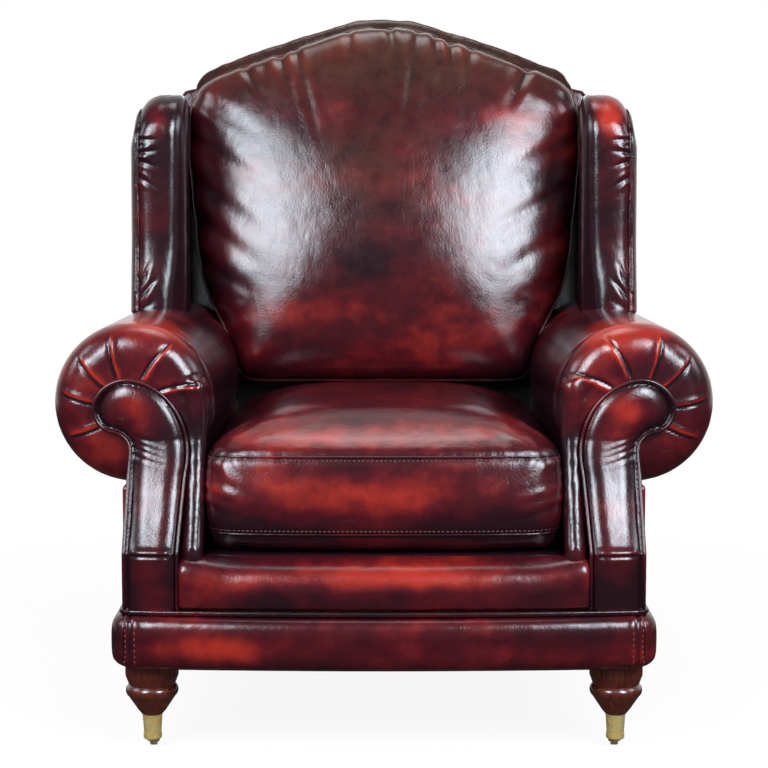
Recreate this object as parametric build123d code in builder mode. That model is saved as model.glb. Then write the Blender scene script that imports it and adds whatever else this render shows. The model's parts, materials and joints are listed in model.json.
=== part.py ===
from build123d import *
from math import atan2, cos, hypot, radians, sin
import os

# A leather wing armchair with rolled arms, on turned front legs with cup castors.
# It faces -Y, stands on z = 0 and is centred on its own bounding box. Sizes are in millimetres.
# "right" is the +X side, as seen by someone looking at the front of the chair.

# Overall size
chair_depth = 900
chair_height = 1060
front_y = -chair_depth / 2
seam_gap = 0.3
overrun = 60

# Seat frame
frame_half_width = 345
frame_bottom = 125
rail_height = 75
rail_thickness = 30
frame_top = frame_bottom + rail_height
corner_block_leg = 80
corner_block_height = 55
corner_block_rise = 10

# Padded band around the seat frame
band_bow = 20
band_padding_front = 28
band_padding_side = 29
band_padding_rear = 22
band_corner_radius = 34
band_rear_corner_radius = 22
band_drop = 4
band_rebate = 1
band_top_round = 12
band_bottom_round = 16
band_seam_reach = 8
band_seam_x = frame_half_width + band_seam_reach
piping_width = 6
piping_height = 5
frame_front = front_y + band_bow + band_padding_front
band_bottom = frame_bottom - band_drop
band_top = frame_top - band_rebate
band_half_width = frame_half_width + band_padding_side
band_corner_y = front_y + band_bow
cover_bottom = band_top + piping_height + seam_gap

# Raked back: u runs along X, v up the back and depth w towards the rear
back_tilt = radians(11)
back_pad = 20
webbing_thickness = 2
post_front = back_pad + 2 * webbing_thickness
post_depth = 40
post_rear = post_front + post_depth
back_panel = 6
back_rear = post_rear + back_panel
post_width = 40
post_flare = 7
back_half_width = frame_half_width + post_flare
crest_height = 175
crest_rim = 14
camel_peak_drop = 24
camel_peak_z = chair_height - camel_peak_drop
camel_slope = 0.39
camel_round = 264
camel_shoulder_inset = 62
camel_shoulder_x = back_half_width - camel_shoulder_inset
camel_shoulder_round = 80
back_corner_round = 20
tack_rail_rise = 30
tack_rail_bottom = frame_top + tack_rail_rise
tack_rail_height = 60
back_pad_bottom = 286
strap_width = 50
strap_overlap = 10
vertical_straps = 5
horizontal_straps = 4
strap_side_gap = 72
strap_foot_gap = 150
strap_head_gap = 87
back_panel_foot_spread = 14
back_panel_head_spread = 42
back_panel_corner = 45

# Arms
arm_axis_reach = 6
arm_axis_x = frame_half_width + arm_axis_reach
arm_axis_z = 477
roll_radius = 113
roll_nose = 44
arm_front_setback = 112
arm_front_y = front_y + arm_front_setback
arm_inner_reach = 94
arm_inner_x = frame_half_width - arm_inner_reach
arm_inner_pad = 49
arm_inner_round = 24
arm_wall = 8
arm_post_depth = 45
arm_post_half = 22.5
arm_post_x = frame_half_width - arm_post_half
arm_post_drop = 22
arm_post_top = arm_axis_z - arm_post_drop
arm_rail_height = 30
arm_rail_width = 30
arm_cavity_drop = 127
arm_cavity_top = arm_axis_z - arm_cavity_drop
arm_panel_thickness = 13
arm_panel_setback = 2

# Scrolled facing on the front of each arm
facing_setback = 34
facing_head_thickness = 12
facing_width = 66.5
facing_outer_x = back_half_width
facing_inner_x = facing_outer_x - facing_width
facing_rise = 32.3
facing_block_top = 281
facing_sweep_drop = 47
facing_sweep_top = arm_axis_z - facing_sweep_drop
facing_sweep_sag_share = 0.62
facing_front_y = front_y + facing_setback
facing_piping_width = 5
facing_piping_depth = 7
facing_piping_setback = 2.5

# Wings
wing_inner_pad = 24
wing_outer_pad = 44
wing_inner_x = back_half_width - wing_inner_pad
wing_outer_x = back_half_width + wing_outer_pad
wing_foot_y = 8
wing_waist_y = 30
wing_brow_y = 38
wing_top_drop = 128
wing_overlap = 20
wing_waist_share = 0.3315
wing_bottom_z = arm_axis_z + roll_radius - wing_overlap
wing_top_z = chair_height - wing_top_drop
wing_waist_z = wing_bottom_z + wing_waist_share * (wing_top_z - wing_bottom_z)
wing_waist_round = 250
wing_waist_round_share = 3.3
wing_brow_round = 75
wing_inner_round = 30
wing_outer_round = 28
wing_board_x = back_half_width
wing_board = 18
wing_board_inset = 34
wing_board_lift = 2
wing_board_bottom = arm_axis_z + roll_radius + wing_board_lift
wing_seam_inset = 10
wing_seam_x = wing_outer_x - wing_seam_inset
wing_piping_lift = 2.6
wing_piping_half = 2

# Seat: springs, deck, lip and loose cushion
spring_wire = 4
spring_count = 4
spring_side_gap = 90
spring_bar = 30
spring_bends = 12
spring_setback = 22
clip_width = 22
clip_reach = 9
clip_gauge = 1.4
deck_gauge = 1.7
deck_inset = 1
lip_half_width = facing_inner_x - facing_piping_width - seam_gap
lip_inset = 18
lip_thickness = 42
lip_top = 275.7
lip_round = 26
platform_rear_gap = 4
cushion_base = lip_top + seam_gap
cushion_half_width = arm_inner_x - deck_inset
cushion_front_setback = 48
cushion_rear_gap = 8

# Back cushion
pillow_foot_rise = 162
pillow_foot_z = cushion_base + pillow_foot_rise
pillow_side_gap = 8
pillow_half_width = wing_inner_x - pillow_side_gap
pillow_piping_out = 4
pillow_piping_width = 6

# Legs, castors and dust cover
leg_inset = 22.5
leg_x = frame_half_width - leg_inset
front_leg_setback = 80
leg_ring_radius = 36.9
leg_foot_z = 49
leg_foot_radius = 14.8
leg_boss_radius = 20
bolt_radius = 4
bolt_in_leg = 30
bolt_in_rail = 35
rear_leg_inset = 25
rear_leg_top = 44
rear_leg_foot = 34
rear_leg_rake = 60
dust_cover_gauge = 1.5
dust_cover_inset = 15
cup_bottom_z = 22
cup_wall = 2
cup_floor = 4
cup_top_radius = 13.9
cup_bottom_radius = 12
collar_radius = 12.8
collar_height = 9
pintle_radius = 3
pintle_length = 10
running_clearance = 0.05
castor_trail = 13
wheel_radius = 9.5
wheel_width = 10
wheel_side_gap = 0.4
wheel_tyre_gap = 0.7
cheek_thickness = 2.4
axle_radius = 2
axle_eye_radius = 4.6
axle_head = 0.6

front_leg_y = front_y + front_leg_setback

# Where the raked back meets the floor plan
back_peak_v = (camel_peak_z - frame_top + back_rear * sin(back_tilt)) / cos(back_tilt)
back_base_y = chair_depth / 2 - back_peak_v * sin(back_tilt) - back_rear * cos(back_tilt)
crest_v = back_peak_v - crest_height


def back_plane(w):
    """The plane at depth w of the back, looking out of the chair's front."""
    origin = (0, back_base_y + w * cos(back_tilt), frame_top - w * sin(back_tilt))
    return Plane(origin=origin, x_dir=(1, 0, 0), z_dir=(0, -cos(back_tilt), sin(back_tilt)))


def back_v(z, w):
    """How far up the back the height z lies, at depth w."""
    return (z - frame_top + w * sin(back_tilt)) / cos(back_tilt)


def back_y(z, w):
    """The Y of the back's plane at depth w, at height z."""
    return back_base_y + back_v(z, w) * sin(back_tilt) + w * cos(back_tilt)


frame_rear = back_y(frame_top, post_rear)
rear_leg_y = frame_rear - rear_leg_inset


def block(x_limits, y_limits, z_limits, mode=Mode.ADD):
    """Adds a rectangular block between the limits to the open part, or cuts it away."""
    with BuildSketch(Plane.XY.offset(z_limits[0])) as floor_plan:
        with Locations((sum(x_limits) / 2, sum(y_limits) / 2)):
            Rectangle(x_limits[1] - x_limits[0], y_limits[1] - y_limits[0])
    extrude(floor_plan.sketch, amount=z_limits[1] - z_limits[0], mode=mode)


def write(piece, name):
    """Labels a finished piece and writes it as one STEP file."""
    piece.part.label = name
    export_step(piece.part, f"parts/{name}.step")


def write_pair(right, name):
    """Writes a right-hand piece and its mirror image on the left."""
    with BuildPart() as left:
        mirror(right.part, about=Plane.YZ)
    write(right, f"{name}_right")
    write(left, f"{name}_left")


# Seat rails: the side rails run the whole depth and hold the leg bolts
bolt_places = ((leg_x, front_leg_y), (leg_x, rear_leg_y))
side_rail_inner = frame_half_width - rail_thickness

with BuildPart() as side_rail:
    block((side_rail_inner, frame_half_width), (frame_front, frame_rear), (frame_bottom, frame_top))
    with BuildSketch(Plane.XY.offset(frame_bottom)):
        with Locations(*bolt_places):
            Circle(bolt_radius)
    extrude(amount=bolt_in_rail, mode=Mode.SUBTRACT)
write_pair(side_rail, "seat_rail")

for name, rail_y in (("front", frame_front), ("rear", frame_rear - rail_thickness)):
    with BuildPart() as cross_rail:
        block(
            (-side_rail_inner, side_rail_inner), (rail_y, rail_y + rail_thickness), (frame_bottom, frame_top)
        )
    write(cross_rail, f"{name}_seat_rail")

# Glue blocks across the four inner corners of the seat frame
block_front = frame_front + rail_thickness
block_rear = frame_rear - rail_thickness
with BuildPart() as corner_blocks:
    with BuildSketch(Plane.XY.offset(frame_bottom + corner_block_rise)):
        for across in (-1, 1):
            for corner_y, along in ((block_front, 1), (block_rear, -1)):
                with BuildLine():
                    Polyline(
                        (across * side_rail_inner, corner_y),
                        (across * side_rail_inner, corner_y + along * corner_block_leg),
                        (across * (side_rail_inner - corner_block_leg), corner_y),
                        close=True,
                    )
                make_face()
    extrude(amount=corner_block_height)
write(corner_blocks, "corner_blocks")

# Padded band in four lengths, with its seams just inside the front corners
band_rear = frame_rear + band_padding_rear
with BuildSketch(Plane.XY.offset(band_bottom)) as band_plan:
    with BuildLine():
        ThreePointArc((-band_half_width, band_corner_y), (0, front_y), (band_half_width, band_corner_y))
        Polyline(
            (band_half_width, band_corner_y),
            (band_half_width, band_rear),
            (-band_half_width, band_rear),
            (-band_half_width, band_corner_y),
        )
    make_face()
    fillet(band_plan.vertices().sort_by(Axis.Y)[:2], radius=band_corner_radius)
    fillet(band_plan.vertices().sort_by(Axis.Y)[-2:], radius=band_rear_corner_radius)

with BuildPart() as band:
    extrude(band_plan.sketch, amount=band_top - band_bottom)
    fillet(band.faces().sort_by(Axis.Z)[-1].edges(), radius=band_top_round)
    fillet(band.faces().sort_by(Axis.Z)[0].edges(), radius=band_bottom_round)
    block(
        (-frame_half_width, frame_half_width),
        (frame_front, frame_rear),
        (band_bottom - overrun, band_top + overrun),
        mode=Mode.SUBTRACT,
    )

band_zone = (band_bottom - overrun, band_top + overrun)
with BuildPart() as base_band_front:
    block((-band_seam_x, band_seam_x), (front_y - overrun, frame_front), band_zone)
    add(band.part, mode=Mode.INTERSECT)
write(base_band_front, "base_band_front")

with BuildPart() as base_band_rear:
    block((-frame_half_width, frame_half_width), (frame_rear, band_rear + overrun), band_zone)
    add(band.part, mode=Mode.INTERSECT)
write(base_band_rear, "base_band_rear")

with BuildPart() as base_band_side:
    add(band.part)
    split(bisect_by=Plane.YZ, keep=Keep.TOP)
    add(base_band_front.part, mode=Mode.SUBTRACT)
    add(base_band_rear.part, mode=Mode.SUBTRACT)
write_pair(base_band_side, "base_band")

with BuildPart() as base_piping:
    with BuildSketch(Plane.XY.offset(band_top)):
        offset(band_plan.sketch, amount=-band_top_round)
        offset(band_plan.sketch, amount=-band_top_round - piping_width, mode=Mode.SUBTRACT)
    extrude(amount=piping_height)
write(base_piping, "base_piping")

# Turned front legs: ring, neck, bead and cone above the castor cup, as shares of radius and height
leg_profile_shares = ((1, 0.77), (0.868, 0.586), (0.984, 0.446), (0.89, 0.36), (0.523, 0.075))
leg_shoulder_z = band_bottom - seam_gap
leg_height = leg_shoulder_z - leg_foot_z
leg_points = [(leg_ring_radius * r, leg_foot_z + leg_height * h) for r, h in leg_profile_shares]
spigot_bottom_z = cup_bottom_z + cup_floor + seam_gap
spigot_top_radius = cup_top_radius - cup_wall - seam_gap
spigot_bottom_radius = cup_bottom_radius - cup_wall - seam_gap
leg_axis = Axis((leg_x, front_leg_y, 0), (0, 0, 1))
leg_plane = Plane(origin=(leg_x, front_leg_y, 0), x_dir=(1, 0, 0), z_dir=(0, -1, 0))

with BuildPart() as front_leg:
    with BuildSketch(leg_plane):
        with BuildLine():
            ring_foot, neck, bead, bead_foot, ankle = leg_points
            Polyline(
                (0, spigot_bottom_z),
                (spigot_bottom_radius, spigot_bottom_z),
                (spigot_top_radius, leg_foot_z),
                (leg_foot_radius, leg_foot_z),
                ankle,
                bead_foot,
            )
            ThreePointArc(bead_foot, bead, neck)
            Line(neck, ring_foot)
            Polyline(
                ring_foot,
                (leg_ring_radius, leg_shoulder_z),
                (leg_boss_radius, leg_shoulder_z),
                (leg_boss_radius, frame_bottom),
                (0, frame_bottom),
                (0, spigot_bottom_z),
            )
        make_face()
    revolve(axis=leg_axis)
    with BuildSketch(Plane.XY.offset(frame_bottom)):
        with Locations((leg_x, front_leg_y)):
            Circle(bolt_radius)
    extrude(amount=-bolt_in_leg, mode=Mode.SUBTRACT)
    with BuildSketch(Plane.XY.offset(spigot_bottom_z)):
        with Locations((leg_x, front_leg_y)):
            Circle(pintle_radius + seam_gap)
    extrude(amount=pintle_length, mode=Mode.SUBTRACT)
write_pair(front_leg, "front_leg")

# Square rear legs, tapered and raked backwards
with BuildPart() as rear_leg:
    with BuildSketch():
        with Locations((leg_x, rear_leg_y + rear_leg_rake)):
            Rectangle(rear_leg_foot, rear_leg_foot)
    with BuildSketch(Plane.XY.offset(frame_bottom)):
        with Locations((leg_x, rear_leg_y)):
            Rectangle(rear_leg_top, rear_leg_top)
    loft(ruled=True)
    with BuildSketch(Plane.XY.offset(frame_bottom)):
        with Locations((leg_x, rear_leg_y)):
            Circle(bolt_radius)
    extrude(amount=-bolt_in_leg, mode=Mode.SUBTRACT)
write_pair(rear_leg, "rear_leg")

with BuildPart() as leg_bolts:
    with BuildSketch(Plane.XY.offset(frame_bottom - bolt_in_leg)):
        for across in (-1, 1):
            with Locations(*[(across * x, y) for x, y in bolt_places]):
                Circle(bolt_radius)
    extrude(amount=bolt_in_leg + bolt_in_rail)
write(leg_bolts, "leg_bolts")

# Castors: a tapered brass cup, a swivelling horn with its pintle, a wheel and its axle pin
axle_y = front_leg_y + castor_trail
axle_z = wheel_radius
collar_top_z = cup_bottom_z - seam_gap
pintle_bore = pintle_radius + running_clearance
wheel_slot = wheel_width + 2 * wheel_side_gap
fork_width = wheel_slot + 2 * cheek_thickness
axle_plane = Plane(origin=(leg_x, axle_y, axle_z), x_dir=(0, 1, 0), z_dir=(1, 0, 0))

with BuildPart() as castor_cup:
    with BuildSketch(leg_plane):
        with BuildLine():
            Polyline(
                (pintle_bore, cup_bottom_z),
                (cup_bottom_radius, cup_bottom_z),
                (cup_top_radius, leg_foot_z),
                (cup_top_radius - cup_wall, leg_foot_z),
                (cup_bottom_radius - cup_wall, cup_bottom_z + cup_floor),
                (pintle_bore, cup_bottom_z + cup_floor),
                close=True,
            )
        make_face()
    revolve(axis=leg_axis)
write_pair(castor_cup, "castor_cup")

with BuildPart() as castor_horn:
    with BuildSketch(Plane.XY.offset(collar_top_z)):
        with Locations((leg_x, front_leg_y)):
            Circle(collar_radius)
    extrude(amount=-collar_height)
    collar_rims = castor_horn.faces().filter_by(Plane.XY).edges()
    fillet(collar_rims.sort_by(Axis.Z)[0], radius=collar_height / 3)
    with BuildSketch(axle_plane.offset(-fork_width / 2)):
        with BuildLine():
            Polyline(
                (-castor_trail - collar_radius / 2, collar_top_z - axle_z - collar_height),
                (-castor_trail - collar_radius / 2, collar_top_z - axle_z - collar_height / 2),
                (-castor_trail + collar_radius * 0.8, collar_top_z - axle_z - collar_height / 4),
                (axle_eye_radius, axle_eye_radius / 2),
                (axle_eye_radius / 2, -axle_eye_radius),
                (-axle_eye_radius, -axle_eye_radius / 2),
                close=True,
            )
        make_face()
        Circle(axle_eye_radius)
    extrude(amount=fork_width)
    with BuildSketch(axle_plane.offset(-wheel_slot / 2)):
        Circle(wheel_radius + wheel_tyre_gap)
    extrude(amount=wheel_slot, mode=Mode.SUBTRACT)
    with BuildSketch(axle_plane.offset(-fork_width)):
        Circle(axle_radius)
    extrude(amount=2 * fork_width, mode=Mode.SUBTRACT)
    with BuildSketch(Plane.XY.offset(collar_top_z - seam_gap)):
        with Locations((leg_x, front_leg_y)):
            Circle(pintle_radius)
    extrude(amount=pintle_length)
write_pair(castor_horn, "castor_horn")

with BuildPart() as castor_wheel:
    with BuildSketch(axle_plane.offset(-wheel_width / 2)):
        Circle(wheel_radius)
        Circle(axle_radius + running_clearance, mode=Mode.SUBTRACT)
    extrude(amount=wheel_width)
    tyre_rims = castor_wheel.edges().filter_by(GeomType.CIRCLE).group_by(SortBy.RADIUS)[-1]
    fillet(tyre_rims, radius=wheel_width / 6)
write_pair(castor_wheel, "castor_wheel")

with BuildPart() as castor_axle:
    with BuildSketch(axle_plane.offset(-fork_width / 2 - axle_head)):
        Circle(axle_radius)
    extrude(amount=fork_width + 2 * axle_head)
    chamfer(castor_axle.edges().filter_by(GeomType.CIRCLE), length=axle_head / 2)
write_pair(castor_axle, "castor_axle")

# Black cloth under the seat frame, cut around the legs
with BuildPart() as dust_cover:
    block(
        (dust_cover_inset - frame_half_width, frame_half_width - dust_cover_inset),
        (frame_front + dust_cover_inset, frame_rear - dust_cover_inset),
        (frame_bottom - dust_cover_gauge, frame_bottom),
    )
    with BuildSketch(Plane.XY.offset(frame_bottom)):
        with Locations((-leg_x, front_leg_y), (leg_x, front_leg_y)):
            Circle(leg_boss_radius + seam_gap)
        with Locations((-leg_x, rear_leg_y), (leg_x, rear_leg_y)):
            Rectangle(rear_leg_top + 2 * dust_cover_gauge, rear_leg_top + 2 * dust_cover_gauge)
    extrude(amount=-2 * dust_cover_gauge, mode=Mode.SUBTRACT)
write(dust_cover, "dust_cover")

# Zigzag springs laid from the front rail to the rear rail, each one bent from a single wire
spring_radius = spring_wire / 2
spring_z = frame_top + spring_radius
spring_front_y = frame_front + spring_setback
spring_rear_y = frame_rear - spring_setback
bar_pitch = (spring_rear_y - spring_front_y) / spring_bends
spring_pitch = 2 * (side_rail_inner - spring_side_gap) / (spring_count - 1)
spring_places = [spring_pitch * (i - (spring_count - 1) / 2) for i in range(spring_count)]


def zigzag_spring(x):
    """Sweeps one wire along bars across the seat, joined by half-turns at alternate ends."""
    with BuildLine() as wire:
        for i in range(spring_bends + 1):
            y = spring_front_y + i * bar_pitch
            side = -1 if i % 2 else 1
            Line((x - side * spring_bar / 2, y, spring_z), (x + side * spring_bar / 2, y, spring_z))
            if i < spring_bends:
                bend_x = x + side * spring_bar / 2
                ThreePointArc(
                    (bend_x, y, spring_z),
                    (bend_x + side * bar_pitch / 2, y + bar_pitch / 2, spring_z),
                    (bend_x, y + bar_pitch, spring_z),
                )
    start = Plane(origin=wire.line @ 0, z_dir=wire.line % 0, x_dir=(0, 0, 1))
    with BuildSketch(start) as section:
        RegularPolygon(radius=spring_radius, side_count=6)
    sweep(section.sketch, path=wire.line)


with BuildPart() as seat_springs:
    for x in spring_places:
        zigzag_spring(x)
write(seat_springs, "seat_springs")

# Folded steel clips that hold the end bars down on the rails
clip_top = frame_top + spring_wire + clip_gauge
with BuildPart() as spring_clips:
    for x in spring_places:
        for bar_y, way in ((spring_front_y, -1), (spring_rear_y, 1)):
            with BuildSketch(Plane.YZ.offset(x - clip_width / 2)) as fold:
                with BuildLine():
                    Polyline(
                        (bar_y + way * clip_reach, frame_top),
                        (bar_y + way * clip_reach, clip_top),
                        (bar_y - way * spring_wire, clip_top),
                        (bar_y - way * spring_wire, clip_top - clip_gauge),
                        (bar_y + way * (clip_reach - clip_gauge), clip_top - clip_gauge),
                        (bar_y + way * (clip_reach - clip_gauge), frame_top),
                        close=True,
                    )
                make_face()
            extrude(fold.sketch, amount=clip_width)
write(spring_clips, "spring_clips")

# Front lip, bowed like the band below it
lip_plan_front = front_y + lip_inset
with BuildPart() as seat_lip:
    with BuildSketch(Plane.XY.offset(cover_bottom)):
        offset(band_plan.sketch, amount=-lip_inset)
        with Locations((0, lip_plan_front + lip_thickness / 2)):
            Rectangle(2 * lip_half_width, lip_thickness, mode=Mode.INTERSECT)
    extrude(amount=lip_top - cover_bottom)
    fillet(seat_lip.faces().sort_by(Axis.Z)[-1].edges().sort_by(Axis.Y)[0], radius=lip_round)
write(seat_lip, "seat_lip")

# Hessian over the springs and the padded deck that the loose cushion rests on
deck_front = lip_plan_front + lip_thickness + seam_gap
deck_half_width = arm_inner_x - deck_inset
deck_rear = back_y(lip_top, 0) - platform_rear_gap
hessian_bottom = clip_top + seam_gap
hessian_top = hessian_bottom + deck_gauge
with BuildPart() as seat_hessian:
    block((-deck_half_width, deck_half_width), (deck_front, spring_rear_y), (hessian_bottom, hessian_top))
write(seat_hessian, "seat_hessian")

with BuildPart() as platform_pad:
    block((-deck_half_width, deck_half_width), (deck_front, deck_rear), (hessian_top, lip_top))
write(platform_pad, "platform_pad")

# Loose seat cushion: boxed sides that draw in at both seams, and a crowned top.
# Each level gives its height share, side inset, rear inset and corner radius shares.
cushion_height = 187
cushion_inset = 24
cushion_corner = 40
cushion_levels_shares = (
    (0, 0.5, 0.5, 0.75),
    (0.144, 0.125, 0.1, 0.95),
    (0.433, 0, 0, 1),
    (0.722, 0.125, 0.1, 0.95),
    (0.86, 1, 0.45, 1.2),
    (1, 5, 7.5, 1.5),
)
cushion_front = front_y + cushion_front_setback
cushion_rear = back_y(lip_top, 0) - cushion_rear_gap
with BuildPart() as seat_cushion:
    for rise, inset, rear_inset, corner in cushion_levels_shares:
        level_front = cushion_front + inset * cushion_inset
        level_rear = cushion_rear - rear_inset * cushion_inset
        with BuildSketch(Plane.XY.offset(cushion_base + rise * cushion_height)):
            with Locations((0, (level_front + level_rear) / 2)):
                RectangleRounded(
                    2 * (cushion_half_width - inset * cushion_inset),
                    level_rear - level_front,
                    corner * cushion_corner,
                )
    loft(ruled=True)
write(seat_cushion, "seat_cushion")

# Back frame: posts on the side rails, a tack rail and a camel-backed crest rail
with BuildPart() as back_post:
    with BuildSketch(back_plane(post_rear)):
        with Locations((back_half_width - post_width / 2, (crest_v - overrun) / 2)):
            Rectangle(post_width, crest_v + overrun)
    extrude(amount=post_depth)
    split(bisect_by=Plane.XY.offset(frame_top), keep=Keep.TOP)
write_pair(back_post, "back_post")

post_inner = back_half_width - post_width
with BuildPart() as back_tack_rail:
    with BuildSketch(back_plane(post_rear)):
        with Locations((0, back_v(tack_rail_bottom, post_rear) + tack_rail_height / 2)):
            Rectangle(2 * post_inner, tack_rail_height)
    extrude(amount=post_depth)
write(back_tack_rail, "back_tack_rail")


def camel_outline(half_width, foot_v, foot_half_width, drop, corner_round=back_corner_round):
    """Draws a back outline in the open sketch: straight sides, low shoulders and a rounded peak."""
    ridge = camel_round * (1 / cos(atan2(camel_slope, 1)) - 1)
    peak_v = back_peak_v - drop + ridge
    shoulder_v = peak_v - camel_slope * camel_shoulder_x
    corner_v = back_v(wing_top_z, back_rear) - drop / 2 - seam_gap
    right_half = (
        (foot_half_width, foot_v),
        (half_width, corner_v),
        (camel_shoulder_x - drop, shoulder_v),
    )
    left_half = [(-x, v) for x, v in reversed(right_half)]
    rounds = (0, corner_round, camel_shoulder_round)
    with BuildLine() as outline:
        FilletPolyline(
            *right_half, (0, peak_v), *left_half, radius=[*rounds, camel_round, *reversed(rounds)], close=True
        )
    make_face(outline.edges())


with BuildPart() as crest_rail:
    with BuildSketch(back_plane(post_rear)):
        camel_outline(back_half_width - crest_rim, crest_v, back_half_width - crest_rim, crest_rim)
    extrude(amount=post_depth)
write(crest_rail, "crest_rail")

# Webbing straps tacked on the front of the back frame, crosswise over lengthwise
with BuildPart() as back_webbing:
    first_strap = strap_side_gap - post_inner
    strap_pitch = -2 * first_strap / (vertical_straps - 1)
    strap_foot = back_v(tack_rail_bottom, 0) + strap_overlap
    strap_head = crest_v + 2 * strap_overlap
    lowest_strap = back_v(tack_rail_bottom + strap_foot_gap, 0)
    cross_pitch = (crest_v - strap_head_gap - lowest_strap) / (horizontal_straps - 1)
    with BuildSketch(back_plane(post_front)) as lengthwise:
        for i in range(vertical_straps):
            with Locations((first_strap + i * strap_pitch, (strap_foot + strap_head) / 2)):
                Rectangle(strap_width, strap_head - strap_foot)
    extrude(lengthwise.sketch, amount=webbing_thickness)
    with BuildSketch(back_plane(post_front - webbing_thickness)) as crosswise:
        for i in range(horizontal_straps):
            with Locations((0, lowest_strap + i * cross_pitch)):
                Rectangle(2 * (post_inner + strap_overlap / 2), strap_width)
    extrude(crosswise.sketch, amount=webbing_thickness)
write(back_webbing, "back_webbing")

# Arm frame: an upright on the side rail and a rail back to the post
arm_post_y = (arm_front_y + arm_wall, arm_front_y + arm_wall + arm_post_depth)
arm_post_xs = (arm_post_x - arm_post_half, arm_post_x + arm_post_half)
with BuildPart() as arm_post:
    block(arm_post_xs, arm_post_y, (frame_top, arm_post_top))
write_pair(arm_post, "arm_post")

with BuildPart() as arm_rail:
    block(
        (back_half_width - arm_rail_width, back_half_width),
        (arm_post_y[0], frame_rear + overrun),
        (arm_post_top, arm_post_top + arm_rail_height),
    )
    split(bisect_by=back_plane(post_front), keep=Keep.TOP)
write_pair(arm_rail, "arm_rail")

# Arm cover: the padded roll and the inner arm in one piece, open inside for the arm frame
with BuildPart() as arm_cover:
    with BuildSketch(Plane.XZ.offset(-arm_front_y)):
        with Locations((arm_axis_x, arm_axis_z)):
            Circle(roll_radius)
    extrude(amount=arm_front_y - frame_rear - 2 * overrun)
    fillet(arm_cover.edges().filter_by(GeomType.CIRCLE).sort_by(Axis.Y)[0], radius=roll_nose)
    with BuildPart(mode=Mode.PRIVATE) as inner_arm:
        arm_depth = (arm_front_y, frame_rear + 2 * overrun)
        block((arm_inner_x, back_half_width), arm_depth, (cover_bottom, arm_axis_z))
        front_edges = inner_arm.edges().filter_by(Axis.Z).sort_by(Axis.Y)[:2]
        fillet(front_edges.sort_by(Axis.X)[0], radius=arm_inner_round)
    add(inner_arm.part)
    block(
        (arm_inner_x + arm_inner_pad, back_half_width + seam_gap),
        (arm_front_y + arm_wall, frame_rear + 2 * overrun),
        (cover_bottom - overrun, arm_cavity_top),
        mode=Mode.SUBTRACT,
    )
    add(arm_post.part, mode=Mode.SUBTRACT)
    add(arm_rail.part, mode=Mode.SUBTRACT)
    split(bisect_by=back_plane(post_rear), keep=Keep.TOP)
    with BuildSketch(back_plane(0)) as behind_back:
        with Locations((0, crest_v / 2)):
            Rectangle(2 * (back_half_width + seam_gap), 2 * crest_v)
    extrude(behind_back.sketch, amount=-back_rear, mode=Mode.SUBTRACT)
write_pair(arm_cover, "arm_cover")

# Facing: the scrolled front outline, swept back above its square foot.
# The scroll runs from the inner foot over the head to the outer foot, as shares of its width and height.
facing_height = arm_axis_z + facing_rise - cover_bottom
scroll_inner_shares = ((0, 0.251), (-0.1, 0.583), (-0.135, 0.715), (0.068, 0.854), (0.48, 0.954))
scroll_head_shares = ((0.8, 0.998), (1.075, 1), (1.556, 0.954), (1.717, 0.888), (1.632, 0.818))
scroll_throat_shares = ((1.436, 0.784), (1.03, 0.735), (0.955, 0.67), (0.98, 0.583))


def facing_point(share):
    """A point of the scroll outline from its shares of the facing's width and height."""
    return (facing_inner_x + share[0] * facing_width, cover_bottom + share[1] * facing_height)


with BuildSketch(Plane.XZ) as scroll:
    with BuildLine():
        inner = [facing_point(p) for p in scroll_inner_shares]
        head = [facing_point(p) for p in scroll_head_shares]
        throat = [facing_point(p) for p in scroll_throat_shares]
        Polyline(facing_point((0, 0)), inner[0], inner[1])
        ThreePointArc(inner[1], inner[2], inner[3])
        ThreePointArc(inner[3], inner[4], head[1])
        ThreePointArc(head[1], head[2], head[3])
        ThreePointArc(head[3], head[4], throat[0])
        ThreePointArc(throat[0], throat[1], throat[2])
        Polyline(throat[2], throat[3], facing_point((1, scroll_inner_shares[0][1])), facing_point((1, 0)))
        Line(facing_point((1, 0)), facing_point((0, 0)))
    make_face()

facing_head_front = arm_front_y - facing_head_thickness
sweep_middle_y = facing_front_y + facing_sweep_sag_share * (facing_head_front - facing_front_y)
facing_top = arm_axis_z + roll_radius


def facing_side(shift, mode=Mode.ADD):
    """Draws or cuts the facing's side view, from its front shifted back to the face of the arm."""
    with BuildLine() as outline:
        Line((arm_front_y, cover_bottom), (facing_front_y + shift, cover_bottom))
        Line((facing_front_y + shift, cover_bottom), (facing_front_y + shift, facing_block_top))
        ThreePointArc(
            (facing_front_y + shift, facing_block_top),
            (sweep_middle_y + shift, (facing_block_top + facing_sweep_top) / 2),
            (facing_head_front + shift, facing_sweep_top),
        )
        Line((facing_head_front + shift, facing_sweep_top), (facing_head_front + shift, facing_top))
        Line((facing_head_front + shift, facing_top), (arm_front_y, facing_top))
        Line((arm_front_y, facing_top), (arm_front_y, cover_bottom))
    make_face(outline.edges(), mode=mode)


with BuildPart() as arm_facing:
    extrude(scroll.sketch, amount=chair_depth)
    with BuildSketch(Plane.YZ):
        facing_side(0)
    extrude(amount=arm_axis_x + roll_radius, mode=Mode.INTERSECT)
write_pair(arm_facing, "arm_facing")

# Piping that follows the facing's edge, set just behind its front
with BuildPart() as facing_piping:
    with BuildSketch(Plane.XZ):
        offset(scroll.sketch, amount=facing_piping_width)
        add(scroll.sketch, mode=Mode.SUBTRACT)
    extrude(amount=chair_depth)
    with BuildSketch(Plane.YZ):
        facing_side(facing_piping_setback)
        facing_side(facing_piping_setback + facing_piping_depth, mode=Mode.SUBTRACT)
    extrude(amount=arm_axis_x + roll_radius, mode=Mode.INTERSECT)
write_pair(facing_piping, "facing_piping")

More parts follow.
